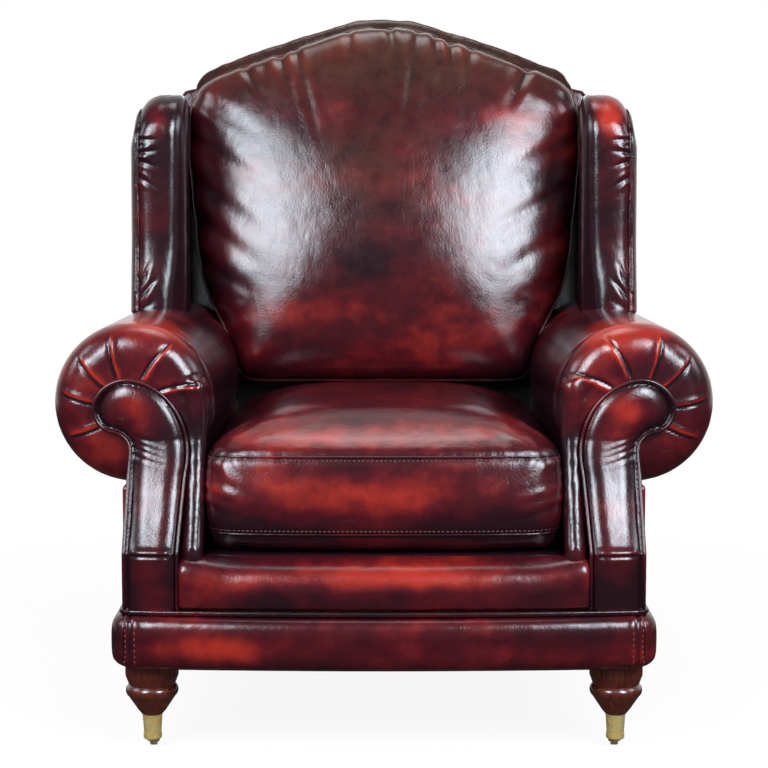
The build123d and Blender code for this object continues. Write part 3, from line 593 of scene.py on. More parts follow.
def finish_hide(
    piece, body, node_names, rubs=(), seams=None, olive=0.0, darker=0.0, brighter=0.0, worn=1.0
):
    """Paints the wear, with the painted shade and highlights it is given, puts on the leather and hands the
    piece to the construction model.
    """
    places, normals = points_of(piece)
    relief = ((places - neighbour_mean(piece, places, wear_reach)) * normals).sum(axis=1) / wear_height
    rub = rub_on_high * worn * np.clip(relief, 0, relief_cap) + brighter
    shade = shade_in_low * np.clip(-relief, 0, relief_cap) + darker
    # A negative strength adds to the shade instead of the rub: painted shade in a recess.
    for centre, size, strength in rubs:
        gap = (places - np.array(centre)) / np.array(size)
        blob = strength * np.exp(-(gap * gap).sum(axis=1))
        rub = rub + np.maximum(blob, 0)
        shade = shade + np.maximum(-blob, 0)
    if seams is not None:
        shade = shade + shade_at_seam * np.exp(-seams / seam_shade_reach)
    paint(piece, "rub", rub)
    paint(piece, "shade", shade)
    paint(piece, "olive", np.zeros(len(places)) + olive)
    piece.data.materials.clear()
    piece.data.materials.append(finishes["oxblood_leather"])
    only(piece)
    bpy.ops.object.shade_smooth()
    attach(piece, body)
    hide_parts(*node_names)
    print(piece.name, len(piece.data.polygons), "faces")


sides = (("right", 1), ("left", -1))
print("the glaze stands", round(1000 * wear_height, 1), "mm of relief before it is rubbed through")

# %% [markdown]
# Seams. A seam is a line of points that lies in a plane cut through the pad. It could be picked from the
# mesh's own edges, but remeshing has left none along it. Cutting a copy of the pad with bisect leaves
# just that outline, which is then put in order, spaced evenly and laid on the surface.


# %% Seam lines
def even_line(line, count, closed=True):
    """The same line with evenly spaced points."""
    ring = np.vstack([line, line[:1]]) if closed else np.asarray(line, float)
    run = np.concatenate([[0], np.cumsum(np.linalg.norm(np.diff(ring, axis=0), axis=1))])
    stops = np.linspace(0, run[-1], count, endpoint=not closed)
    return np.stack([np.interp(stops, run, ring[:, axis]) for axis in range(3)], axis=1)


def cut_outline(piece, middle, normal, count):
    """The outline where a plane cuts the piece, as evenly spaced points in order round the middle."""
    cut = put_in_scene("cut", piece.data.copy())
    bpy.ops.object.mode_set(mode="EDIT")
    bpy.ops.mesh.select_all(action="SELECT")
    bpy.ops.mesh.bisect(plane_co=middle, plane_no=normal, clear_inner=True, clear_outer=True)
    bpy.ops.object.mode_set(mode="OBJECT")
    places, _ = points_of(cut)
    bpy.data.objects.remove(cut)
    up = np.cross(normal, (1, 0, 0))
    around = np.arctan2((places - np.array(middle)) @ up, places[:, 0] - middle[0])
    return even_line(places[np.argsort(around)], count)


def soften_line(line, rounds, closed=True):
    """Relaxes a line of points."""
    for _ in range(rounds):
        mean = (np.roll(line, 1, axis=0) + np.roll(line, -1, axis=0)) / 2
        if not closed:
            mean[0], mean[-1] = line[0], line[-1]
        line = 0.5 * line + 0.5 * mean
    return line


def lay_on(pad, line, lift, rounds=4, closed=True):
    """Lays a line on the pad's surface, lifted off it a little, and gives the outward directions too."""
    places, normals = points_of(pad)
    _, nearest = distance_to(line, places)
    out = normals[nearest]
    laid = line - ((line - places[nearest]) * out).sum(axis=1)[:, None] * out + lift * out
    return soften_line(laid, rounds, closed), out


print("seam tools are ready")

# %% [markdown]
# Piping is a cord sewn into the seam under its own strip of leather. It is a round tube laid along the
# seam's line. A curve with a bevel makes the tube in one step and keeps it round in the bends, and then
# it is turned into a mesh.


# %% Piping
def tube(name, line, radius, closed=True):
    """A round cord along a line of points."""
    curve = bpy.data.curves.new(name, "CURVE")
    curve.dimensions = "3D"
    curve.bevel_depth = radius
    curve.bevel_resolution = 3
    curve.use_fill_caps = True
    spline = curve.splines.new("POLY")
    spline.points.add(len(line) - 1)
    spline.points.foreach_set("co", np.hstack([line, np.ones((len(line), 1))]).ravel())
    spline.use_cyclic_u = closed
    put_in_scene(name, curve)
    bpy.ops.object.convert(target="MESH")
    bpy.ops.object.shade_smooth()
    return bpy.context.object


piping_shade = 0.18


def finish_piping(cord, body, *node_names, rubbed=0.12):
    """Gives a piping cord its leather and hands it to the construction model."""
    for name, value in (("rub", rubbed), ("shade", piping_shade), ("olive", 0.0)):
        paint(cord, name, np.full(len(cord.data.vertices), value))
    cord.data.materials.clear()
    cord.data.materials.append(finishes["piping_leather"])
    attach(cord, body)
    if node_names:
        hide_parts(*node_names)


print("piping is ready")

# %% [markdown]
# Stitches are short lengths of waxed thread that sink into the leather at both ends. A dashed line in the
# material would lie flat, so each stitch is a long bead. It is modelled once and copied along the
# seam, and every copy is turned to run with the seam and to lie with its back on the pad.

# %% Stitches
recipe = material("thread")
fibre = recipe.noise(recipe.stretched(recipe.place(), (0.4, 0.3, 0.2), (900, 900, 5000)), 1.0, 2.0)
recipe.surface(
    Base_Color=recipe.mix(fibre, (0.09, 0.022, 0.018, 1), (0.19, 0.065, 0.05, 1)),
    Roughness=0.6 + fibre * 0.2,
    Normal=recipe.bump(fibre, 0.0002),
)
stitch_length = 0.0042
stitch_pitch = 0.0062
stitch_radius = 0.00065


def stitches(name, line, out, body, closed=False):
    """Copies one bead of thread along a line, each stitch lying along the line with its back on the pad."""
    bpy.ops.object.select_all(action="DESELECT")
    bpy.ops.mesh.primitive_uv_sphere_add(segments=8, ring_count=6, radius=1)
    bead = bpy.context.object
    bpy.ops.object.mode_set(mode="EDIT")
    bpy.ops.transform.resize(value=(stitch_length / 2, stitch_radius, stitch_radius))
    bpy.ops.object.mode_set(mode="OBJECT")
    shape, _ = points_of(bead)
    faces = [tuple(face.vertices) for face in bead.data.polygons]
    bpy.data.objects.remove(bead)
    run = np.linalg.norm(np.diff(line, axis=0), axis=1).sum()
    count = max(2, int(run / stitch_pitch))
    centres = even_line(line, count, closed)
    ups = even_line(out, count, closed)
    ahead = np.roll(centres, -1, axis=0) - centres
    if not closed:
        ahead[-1] = ahead[-2]
    ahead /= np.linalg.norm(ahead, axis=1)[:, None]
    ups = ups - (ups * ahead).sum(axis=1)[:, None] * ahead
    ups /= np.linalg.norm(ups, axis=1)[:, None]
    across = np.cross(ups, ahead)
    places = [c + shape @ np.stack([a, s, u]) for c, a, s, u in zip(centres, ahead, across, ups)]
    beads = [tuple(i + k * len(shape) for i in face) for k in range(count) for face in faces]
    mesh = bpy.data.meshes.new(name)
    mesh.from_pydata(np.concatenate(places).tolist(), [], beads)
    mesh.materials.append(finishes["thread"])
    row = put_in_scene(name, mesh)
    bpy.ops.object.shade_smooth()
    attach(row, body)
    print(name, count, "stitches")


print("a stitch is", round(1000 * stitch_length, 1), "mm long, every", round(1000 * stitch_pitch, 1), "mm")

# %% [markdown]
# Stuffing. A cushion is a leather bag pushed tight from inside. The bag is simulated as cloth under
# pressure with its seams pinned, so the panels swell between them, and the swelling is capped so that
# the cushion keeps to the room that the chair gives it.

# %% Stuffing
stuffing_pressure = 4.0
stuffing_frames = 20


def stuff(pad, pinned, cap):
    """Swells a pad under pressure with its seam points pinned."""
    rest, normals = points_of(pad)
    group = pad.vertex_groups.new(name="seam")
    group.add([int(i) for i in np.flatnonzero(pinned)], 1.0, "REPLACE")
    only(pad)
    bpy.ops.object.modifier_add(type="CLOTH")
    cloth = pad.modifiers[-1]
    cloth.settings.use_pressure = True
    cloth.settings.uniform_pressure_force = stuffing_pressure
    cloth.settings.vertex_group_mass = "seam"
    cloth.settings.effector_weights.gravity = 0
    for step in range(1, stuffing_frames + 1):
        bpy.context.scene.frame_set(step)
    bpy.ops.object.modifier_apply(modifier=cloth.name)
    bpy.context.scene.frame_set(1)
    moved, _ = points_of(pad)
    travel = moved - rest
    length = np.maximum(np.linalg.norm(travel, axis=1), 1e-9)
    travel *= (cap * np.tanh(length / cap) / length)[:, None]
    move_points(pad, rest + neighbour_mean(pad, travel, 3))
    pad.vertex_groups.clear()
    print(pad.name, "swelled by up to", round(1000 * length.max(), 1), "mm before the cap")


def settle(pad, values, held, rounds):
    """Averages values over neighbouring points again and again, while the held points keep theirs."""
    for _ in range(rounds):
        values = np.where(held[:, None], values, neighbour_mean(pad, values, 10))
    return values


print("a cushion is stuffed in", stuffing_frames, "steps")

# %% [markdown]
# A simulation gives fullness but no fine folds. Those are pressed in afterwards, on a mesh made twice as
# fine. A fold in soft leather is a dip with a low ridge along each side, widest where it is stitched
# down and gone at its far end.


# %% Pressing and creasing
def subdivide(pad):
    """Doubles the mesh's fineness with a smooth subdivision."""
    only(pad)
    fine = pad.modifiers.new("fine", "SUBSURF")
    fine.levels = fine.render_levels = 1
    bpy.ops.object.modifier_apply(modifier="fine")


def press(pad, amount):
    """Moves each point along its outward direction by its own amount."""
    places, normals = points_of(pad)
    move_points(pad, places + normals * np.asarray(amount)[:, None])


def crease(places, start, end, width, depth, across=1):
    """A fold seen from the front, a dip with a soft ridge on each side, fading out from start to end.

    Start and end are X and Z. Across is -1 where they are given for the right and meant for the left.
    """
    run = np.subtract(end, start)
    gap = places[:, [0, 2]] * (across, 1) - np.array(start)
    t = np.clip(gap @ run / np.hypot(*run) ** 2, 0, 1)
    off = np.linalg.norm(gap - t[:, None] * run, axis=1)
    ridge = hump(off - 2.0 * width, 1.2 * width)
    return depth * (1 - t) ** 0.8 * (0.45 * ridge - hump(off, width))


print("creasing tools are ready")

# %% [markdown]
# The loose seat cushion is a boxed cushion: a top and a bottom panel joined by a border. A box with
# rounded edges would look like foam. On the real one both seams draw in while the border and the panels
# swell between them, so the seams are found first and the pad is stuffed with them pinned. Then its
# front is bowed back at the corners, and the seams are pressed in.

# %% Seat cushion: the bag
cushion_cell = 0.008
cushion_relax = 14
seam_hold = 0.6 * cushion_cell
seat_low, seat_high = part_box("seat_cushion")
seat_middle = (seat_low + seat_high) / 2
seat_seam_shares = (0.722, 0.144)
seat_swell = 0.012
seat_corner_bow, seat_top_bow = 0.014, 0.009
seam_depth, seam_width = 0.0028, 0.008

seat_pad = padding("seat_cushion_leather", "seat_cushion", cushion_cell, cushion_relax)
seat_seams = []
for share in seat_seam_shares:
    middle = (seat_middle.x, seat_middle.y, seat_low.z + share * (seat_high.z - seat_low.z))
    seat_seams.append(cut_outline(seat_pad, middle, (0, 0, 1), 420))
places, _ = points_of(seat_pad)
away, _ = distance_to(places, np.vstack(seat_seams))
stuff(seat_pad, away < seam_hold, seat_swell)
subdivide(seat_pad)
places, _ = points_of(seat_pad)
for line in (places, *seat_seams):
    bow = seat_corner_bow * (np.abs(line[:, 0]) / seat_high.x) ** 3
    bow += seat_top_bow * ease(line[:, 2], 0.335, 0.415)
    line[:, 1] += bow * (1 - ease(line[:, 1], seat_low.y + 0.05, seat_low.y + 0.13))
move_points(seat_pad, places)
places, _ = points_of(seat_pad)
away, _ = distance_to(places, np.vstack(seat_seams))
press(seat_pad, -seam_depth * hump(away, seam_width))
print("seat seams at", [round(float(seam[0][2]), 3) for seam in seat_seams], "m")

# %% [markdown]
# The front corners show pulled folds that run in and down from the corner, where the border turns.
# They are pressed one by one, each a little different, and the pad is kept inside the room between the
# arms. Last come the rubbed places, a thin welt on each seam and a row of stitches beside it.

# %% Seat cushion: folds, wear and seams
seat_fold = (0.0056, 0.0012)
seat_corner_fold = (0.0050, 0.0010)
seat_welt_radius, welt_lift = 0.0017, 0.0006
stitch_lift, stitch_offset = 0.0003, 0.006
seat_rubs = (
    ((0.0, -0.40, 0.365), (0.20, 0.04, 0.035), 0.45),
    ((-0.05, -0.33, 0.43), (0.16, 0.06, 0.02), 0.40),
    ((0.10, -0.36, 0.425), (0.10, 0.05, 0.02), 0.30),
)

rng = np.random.default_rng(7)
front = 1 - ease(places[:, 1], seat_low.y + 0.05, seat_low.y + 0.09)
amount = np.zeros(len(places))
for across in (-1, 1):
    for i in range(4):
        start = (0.249 - 0.002 * i, 0.394 - 0.017 * i)
        end = (0.176 - 0.012 * i + 0.02 * rng.random(), start[1] - 0.012 - 0.022 * rng.random())
        amount += crease(places, start, end, *seat_fold, across)
    amount += crease(places, (0.214, 0.404), (0.196, 0.372), *seat_corner_fold, across)
press(seat_pad, amount * front)
places, _ = points_of(seat_pad)
places[:, 0] = np.clip(places[:, 0], seat_low.x, seat_high.x)
places[:, 2] = np.maximum(places[:, 2], seat_low.z)
move_points(seat_pad, places)
away, _ = distance_to(places, np.vstack(seat_seams))
finish_hide(seat_pad, "seat_cushion", ["seat_cushion"], seat_rubs, away)
for seam, label, lift in zip(seat_seams, ("top", "bottom"), (-stitch_offset, stitch_offset)):
    welt, _ = lay_on(seat_pad, seam, welt_lift)
    finish_piping(tube(f"seat_cushion_{label}_welt", welt, seat_welt_radius), "seat_cushion")
    line, out = lay_on(seat_pad, seam + np.array((0, 0, lift)), stitch_lift)
    stitches(f"seat_cushion_{label}_stitches", line, out, "seat_cushion", closed=True)

# %% [markdown]
# The back cushion is camel-backed: its outline rises to a rounded peak. Its front panel is joined to the
# border by a thin welt. The construction model holds that welt as a ring, and the plane that fits the
# ring best is the plane of the seam. So the seam is cut there, and the bag is stuffed with it pinned.

# %% Back cushion: the bag
pillow_swell = 0.022
pillow_pad = padding("back_cushion_leather", "back_cushion", cushion_cell, cushion_relax)
ring, _ = points_of(frame["nodes"]["back_cushion_piping"])
pillow_middle = ring.mean(axis=0)
_, _, axes = np.linalg.svd(ring - pillow_middle, full_matrices=False)
pillow_normal = axes[2] * np.sign(axes[2][2])
pillow_up = np.cross(pillow_normal, (1, 0, 0))
pillow_up *= np.sign(pillow_up[2])
facing_out = -np.sign(pillow_normal[1]) * pillow_normal
pillow_seam = cut_outline(pillow_pad, tuple(pillow_middle), tuple(pillow_normal), 520)
places, _ = points_of(pillow_pad)
away, _ = distance_to(places, pillow_seam)
stuff(pillow_pad, away < seam_hold, pillow_swell)
subdivide(pillow_pad)
print("the back cushion's seam leans", round(math.degrees(math.asin(pillow_normal[2])), 1), "degrees back")

# %% [markdown]
# The front panel is cut larger than its seam and packed with loose filling, so it is fuller than
# pressure alone makes it. It is spread evenly inside the seam and raised by how far each point is from
# the seam, steeply close to it and slowly over the rest. Averaging over neighbours then takes out the
# ridges that such a distance leaves along the middle. Behind the seam, the top of the border puffs up.

# %% Back cushion: the dome
pillow_dome_reach = 0.325
dome_height, dome_low_extra, dome_power = 0.046, 0.010, 2.2
dome_edge_height, dome_edge_reach = 0.034, 0.016
puff_height = 0.014

places, _ = points_of(pillow_pad)
away, nearest = distance_to(places, pillow_seam)
ahead = (places - pillow_middle) @ facing_out > 0
held = (away < 0.005) | ~ahead
spread = np.column_stack([places[:, 0], (places - pillow_middle) @ pillow_up])
spread = settle(pillow_pad, spread, held, 14)
seam_up = (pillow_seam - pillow_middle) @ pillow_up
seam_flat = np.column_stack([pillow_seam[:, 0], seam_up, np.zeros(len(pillow_seam))])
flat_away, _ = distance_to(np.column_stack([spread, np.zeros(len(spread))]), seam_flat)
t = np.clip(flat_away / pillow_dome_reach, 0, 1)
broad = (dome_height + dome_low_extra * ease(places[:, 2], 0.95, 0.55)) * (1 - (1 - t) ** dome_power)
broad = settle(pillow_pad, np.where(held, 0, broad)[:, None], held, 36)[:, 0]
dome = np.where(held, 0, broad + dome_edge_height * (1 - np.exp(-flat_away / dome_edge_reach)))
dome = settle(pillow_pad, dome[:, None], held, 1)[:, 0]
print("front panel stood out by up to", round(1000 * ((places - pillow_middle) @ facing_out).max(), 1), "mm")
domed = np.outer(spread[:, 0], (1, 0, 0)) + np.outer(spread[:, 1], pillow_up) + np.outer(dome, facing_out)
domed += pillow_middle * (0, 1, 1)
places = np.where(held[:, None], places, domed)
puff = puff_height * ease(away, 0.004, 0.018) * (1 - ease(away, 0.035, 0.07)) * ease(places[:, 2], 0.9, 0.96)
places[:, 2] += np.where(ahead, 0, puff)

# %% [markdown]
# The seam isn't a clean curve. Along the top it is drawn in, and at four notches, where the gathers are
# stitched down, it is drawn in more. The leather beside it follows, more on the front panel than on the
# border, and then the whole seam is pressed in.

# %% Back cushion: the drawn seam
pillow_widening = 1.035
pillow_rise = 0.006
seam_pull = 0.011
pillow_notches = (-0.176, -0.003, 0.113, 0.242)
notch_pull, notch_width = 0.007, 0.012
pull_reach_ahead, pull_reach_behind = 0.026, 0.013
pillow_seam_depth, pillow_seam_width = 0.004, 0.007

for line in (places, pillow_seam):
    line[:, 0] *= pillow_widening
    line[:, 2] += pillow_rise * ease(line[:, 2], 0.85, 1.03)
inward = pillow_middle - pillow_seam
inward /= np.linalg.norm(inward, axis=1)[:, None]
notches = hump(pillow_seam[:, :1] - np.array(pillow_notches), notch_width).sum(axis=1)
pull = seam_pull * ease(pillow_seam[:, 2], 0.90, 0.98)
pull += notch_pull * notches * ease(pillow_seam[:, 2], 0.93, 0.95)
pull = soften_line(pull[:, None] * inward, 6)
reach = np.where(ahead, pull_reach_ahead, pull_reach_behind)
places += pull[nearest] * hump(away, reach)[:, None]
pillow_seam = pillow_seam + pull
move_points(pillow_pad, places)
places, _ = points_of(pillow_pad)
away, _ = distance_to(places, pillow_seam)
press(pillow_pad, -pillow_seam_depth * hump(away, pillow_seam_width))
print("the seam is drawn in by up to", round(1000 * np.linalg.norm(pull, axis=1).max(), 1), "mm")

# %% [markdown]
# The gathers let go as folds that fan down from the top seam and in from the sides. Each row below is
# one fold. A top fold has its place along the seam, how far it drifts sideways, its length, its width
# and its depth. A side fold has its side, its height, and how far it runs inwards and down.

# %% Back cushion: folds, wear and welt
top_folds = (
    (0.009, 0.015, 0.070, 0.0060, 0.0030),
    (0.057, -0.026, 0.180, 0.0075, 0.0022),
    (0.084, 0.011, 0.095, 0.0055, 0.0022),
    (0.112, 0.008, 0.050, 0.0060, 0.0032),
    (0.146, -0.015, 0.085, 0.0070, 0.0020),
    (0.242, -0.037, 0.070, 0.0075, 0.0032),
    (-0.150, 0.042, 0.155, 0.0060, 0.0020),
    (-0.176, 0.021, 0.075, 0.0070, 0.0030),
    (-0.235, 0.035, 0.060, 0.0065, 0.0024),
    (-0.060, 0.010, 0.090, 0.0060, 0.0018),
)
side_folds = (
    (-1, 0.930, 0.120, 0.070),
    (-1, 0.865, 0.150, 0.085),
    (-1, 0.800, 0.130, 0.095),
    (-1, 0.730, 0.120, 0.080),
    (-1, 0.660, 0.110, 0.060),
    (1, 0.915, 0.130, -0.060),
    (1, 0.860, 0.140, 0.060),
    (1, 0.790, 0.160, 0.085),
    (1, 0.715, 0.130, 0.075),
    (1, 0.640, 0.110, 0.060),
    (-1, 0.560, 0.060, -0.040),
    (1, 0.570, 0.070, -0.045),
)
side_fold = (0.0105, 0.0019)
pillow_rubs = (
    ((0.13, -0.05, 0.57), (0.13, 0.2, 0.07), 0.50),
    ((-0.18, -0.05, 0.56), (0.10, 0.2, 0.08), 0.40),
    ((0.07, 0.0, 0.86), (0.04, 0.2, 0.07), 0.45),
    ((-0.13, 0.0, 0.90), (0.07, 0.2, 0.03), 0.35),
)
top_olive, middle_olive, band_olive, band_dark = 0.70, 0.45, -0.15, 0.3
pillow_welt_radius, pillow_welt_lift = 0.0024, 0.0008

amount = np.zeros(len(places))
top_line = pillow_seam[pillow_seam[:, 2] > 0.93]
for x, drift, length, width, depth in top_folds:
    start = top_line[np.argmin(np.abs(top_line[:, 0] - x))][[0, 2]]
    amount += crease(places, start, start + np.array((drift, -length)), width, depth)
for across, z, inwards, fall in side_folds:
    side_line = pillow_seam[pillow_seam[:, 0] * across > 0]
    start = side_line[np.argmin(np.abs(side_line[:, 2] - z))][[0, 2]]
    amount += crease(places, start, start + np.array((-across * inwards, -fall)), *side_fold)
press(pillow_pad, amount * ease(away, 0.001, 0.014) * ahead)
places, _ = points_of(pillow_pad)
away, _ = distance_to(places, pillow_seam)
band = ease(places[:, 2], 0.9, 0.98) * (1 - ease((places - pillow_middle) @ facing_out, -0.004, 0.002))
olive = top_olive * ease(places[:, 2], 0.88, 1.0) + band_olive * band
olive += middle_olive * hump(places[:, 0] + 0.02, 0.12) * hump(places[:, 2] - 0.82, 0.09)
dark = band_dark * band
finish_hide(pillow_pad, "chair", ["back_cushion"], pillow_rubs, away, olive, darker=dark)
welt, _ = lay_on(pillow_pad, pillow_seam, pillow_welt_lift)
cord = tube("back_cushion_welt", welt, pillow_welt_radius)
# The back cushion's welt is rubbed more than the other cords: a painted highlight along it, as well as wear.
finish_piping(cord, "chair", "back_cushion_piping", rubbed=0.45)

# %% [markdown]
# The arm ends in a facing that stands upright on its foot and sweeps back above it. Both the facing
# and the padded roll beside it follow that sweep, so it is worked out first, from the construction
# solid's own box.

# %% The sweep of the facings
facing_low, facing_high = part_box("arm_facing_right")
facing_reach_shares = (-0.135, 1.717)
facing_width = (facing_high.x - facing_low.x) / (facing_reach_shares[1] - facing_reach_shares[0])
facing_inner_x = facing_low.x - facing_reach_shares[0] * facing_width
facing_height = facing_high.z - facing_low.z
facing_head_y = facing_high.y - 0.012
facing_block_top = 0.281
facing_sweep_top = 0.430
facing_sweep_sag = 0.48


def facing_front(z):
    """The Y of the facing's front at height z."""
    t = np.clip((z - facing_block_top) / (facing_sweep_top - facing_block_top), 0, 1)
    return facing_low.y + (facing_head_y - facing_low.y) * (t + facing_sweep_sag * t * (1 - t))


print("the facing sweeps back", round(1000 * (facing_front(0.5) - facing_front(0.2))), "mm")

# %% [markdown]
# One hide is drawn over the padded roll of the arm and down its inner side. Where it turns over the
# round front of the roll it is longer than the edge it is nailed to, so it is laid in pleats that point
# at the middle of the scroll. A pleat is a narrow dip with a soft ridge beside it. One side of the ridge
# is painted red, rubbed wear and a painted highlight, and the dip is painted dark, glaze kept in the
# fold and painted shade, so the same sums that move the points also give the colour.

# %% Arm covers: pleats
roll_low, roll_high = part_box("arm_cover_right")
roll_radius = 0.113
roll_x = roll_high.x - roll_radius
roll_z = roll_high.z - roll_radius
pleat_angles = {"left": (-33, 3, 35, 66, 117, 158), "right": (-35, -2, 34, 64, 108, 149)}
pleat_inner, pleat_outer, pleat_bend = 0.046, 0.100, 3.0
pleat_depth, pleat_width = 0.0026, 0.0022
pleat_lift, pleat_lift_width = 0.0016, 0.0050


def pleats(places, side, across):
    """How far the pleats lift each point, how much they brighten it, with wear and a painted highlight, and
    how much they darken it, with glaze and painted shade.
    """
    x = across * places[:, 0] - roll_x
    z = places[:, 2] - roll_z
    radius = np.hypot(x, z)
    lifted, bright, dark = np.zeros((3, len(places)))
    for pleat in pleat_angles[side]:
        turn = np.arctan2(z, x) - math.radians(pleat) - pleat_bend * (radius - 0.07)
        turn = (turn + math.pi) % math.tau - math.pi
        off = radius * np.sin(turn)
        near = np.abs(turn) < 0.5
        dip = near * hump(off, pleat_width)
        lifted += near * pleat_lift * hump(off - 0.0055, pleat_lift_width) - pleat_depth * dip
        bright += near * hump(off - 0.0038, pleat_width)
        dark += dip
    reach = ease(radius, pleat_inner - 0.012, pleat_inner)
    reach *= 1 - ease(radius, pleat_outer - 0.012, pleat_outer + 0.004)
    reach *= 1 - ease(places[:, 1], roll_low.y + 0.030, roll_low.y + 0.055)
    reach *= z > -0.095
    return lifted * reach, bright * reach, dark * reach


print("pleats on each roll:", [len(angles) for angles in pleat_angles.values()])

# %% [markdown]
# Between the seat and the facing the hide is rolled over a soft edge of wadding. It is built up from
# balls that are melted into the pad, then wrinkled where the leather turns into it, and smoothed.

# %% Arm covers
arm_cell, arm_relax = 0.0056, 9
front_roll_radius = 0.0165
front_roll_x, front_roll_back = 0.2625, -0.30
front_roll_foot = ((0.266, 0.256, 0.015), (0.273, 0.244, 0.011), (0.278, 0.233, 0.008))
front_roll_column = [(front_roll_x, z, front_roll_radius) for z in np.linspace(0.268, 0.500, 36)]
front_roll_wrinkles = (
    ((0.276, 0.470), (0.256, 0.425)),
    ((0.272, 0.446), (0.253, 0.400)),
    ((0.272, 0.420), (0.252, 0.372)),
    ((0.273, 0.394), (0.254, 0.345)),
    ((0.290, 0.505), (0.268, 0.470)),
)
arm_wrinkle = (0.0036, 0.0010)
arm_wear_and_painted_shade = (
    ((0.33, -0.27, 0.585), (0.075, 0.13, 0.04), 0.95),
    ((0.41, -0.33, 0.43), (0.05, 0.05, 0.05), 0.25),
    ((0.27, -0.33, 0.50), (0.04, 0.06, 0.05), 0.25),
    # The last two rows are painted shade: on the inner side of the arm, deep beside the cushions, and down
    # the rolled edge beside the facing.
    ((0.255, -0.12, 0.44), (0.05, 0.20, 0.11), -1.3),
    ((0.262, -0.40, 0.38), (0.022, 0.06, 0.11), -0.5),
)
# Pleat colour: rubbed wear and a painted highlight beside each ridge, glaze and painted shade in each dip.
pleat_wear_and_painted_highlight, pleat_glaze_and_painted_shade = 0.75, 0.6

for side, across in sides:
    wads = [
        ((across * x, float(facing_front(z)) + 0.005 + radius, z), radius)
        for x, z, radius in [*front_roll_foot, *front_roll_column]
    ]
    arm = padding(f"arm_leather_{side}", f"arm_cover_{side}", arm_cell, arm_relax, wads)
    subdivide(arm)
    places, normals = points_of(arm)
    lifted, bright, dark = pleats(places, side, across)
    wrinkles = sum(crease(places, start, end, *arm_wrinkle, across) for start, end in front_roll_wrinkles)
    press(arm, lifted + wrinkles * ease(-normals[:, 1], 0.1, 0.5))
    places, _ = points_of(arm)
    rolled = (np.abs(places[:, 0]) < 0.290) & (places[:, 1] < front_roll_back) & (places[:, 2] < 0.485)
    rolled = neighbour_mean(arm, rolled.astype(float), 6)[:, None]
    move_points(arm, rolled * neighbour_mean(arm, places, 12) + (1 - rolled) * places)
    finish_hide(
        arm, "chair", [f"arm_cover_{side}"], on_side(across, arm_wear_and_painted_shade),
        darker=dark * pleat_glaze_and_painted_shade, brighter=bright * pleat_wear_and_painted_highlight,
    )

# %% [markdown]
# The facings are the scrolled pads on the fronts of the arms. Their outline starts at the foot, runs up
# the inner side, turns over the scroll and comes back down the outer side. It could be drawn freehand,
# but an upholsterer's template is a chain of arcs, and arcs keep it smooth. The numbers are shares of
# the foot's width and of the whole height.

# %% Facings: the scroll
def arc_through(a, b, c, steps=16):
    """Points on the arc of a circle from a through b to c, without the last one."""
    (ax, ay), (bx, by), (cx, cy) = a, b, c
    d = 2 * (ax * (by - cy) + bx * (cy - ay) + cx * (ay - by))
    aa, bb, cc = ax * ax + ay * ay, bx * bx + by * by, cx * cx + cy * cy
    ux = (aa * (by - cy) + bb * (cy - ay) + cc * (ay - by)) / d
    uy = (aa * (cx - bx) + bb * (ax - cx) + cc * (bx - ax)) / d
    start, middle, end = (math.atan2(y - uy, x - ux) for x, y in (a, b, c))
    turn = (end - start) % math.tau
    if (middle - start) % math.tau > turn:
        turn -= math.tau
    radius = math.hypot(ax - ux, ay - uy)
    angles = [start + turn * i / steps for i in range(steps)]
    return [(ux + radius * math.cos(t), uy + radius * math.sin(t)) for t in angles]


def scroll_line():
    """The facing's outline from its inner foot over the scroll to its outer foot, as X and Z."""
    inner = ((0, 0.251), (-0.1, 0.583), (-0.135, 0.715), (0.068, 0.854), (0.48, 0.954))
    head = ((1.075, 1), (1.556, 0.954), (1.717, 0.888), (1.632, 0.818))
    throat = ((1.436, 0.784), (1.03, 0.735), (0.955, 0.67), (0.98, 0.583), (1, 0.251), (1, 0))
    inner, head, throat = (
        [(facing_inner_x + x * facing_width, facing_low.z + z * facing_height) for x, z in group]
        for group in (inner, head, throat)
    )
    points = [(facing_inner_x, facing_low.z), inner[0]]
    for arc in (inner[1:4], [*inner[3:], head[0]], head[:3], [*head[2:], throat[0]], throat[:3]):
        points += arc_through(*arc)
    return np.array([*points, *throat[2:]])


scroll = scroll_line()
print("the scroll has", len(scroll), "points")

# %% [markdown]
# Each facing is padded like a loaf: it stands up from the piping round it, folds over where the sweep
# begins, and is creased under the scroll. Only its front is moved, so that its back stays on the arm.
# The piping is a cord along the scroll, just outside it.

# %% Facings
facing_cell, facing_relax = 0.0022, 3
facing_groove = 0.0020
facing_rise = 0.0100
facing_round = 0.024
facing_tilt = 0.10
facing_middle_x = facing_inner_x + 0.5 * facing_width
facing_creases = ((0.404, 0.0009), (0.413, 0.0013), (0.421, 0.0011), (0.430, 0.0008))
facing_lift = 0.003
piping_radius = 0.0026
facing_rubs = (
    ((0.34, -0.35, 0.47), (0.03, 0.03, 0.04), 0.45),
    ((0.31, -0.39, 0.32), (0.03, 0.05, 0.03), 0.30),
)


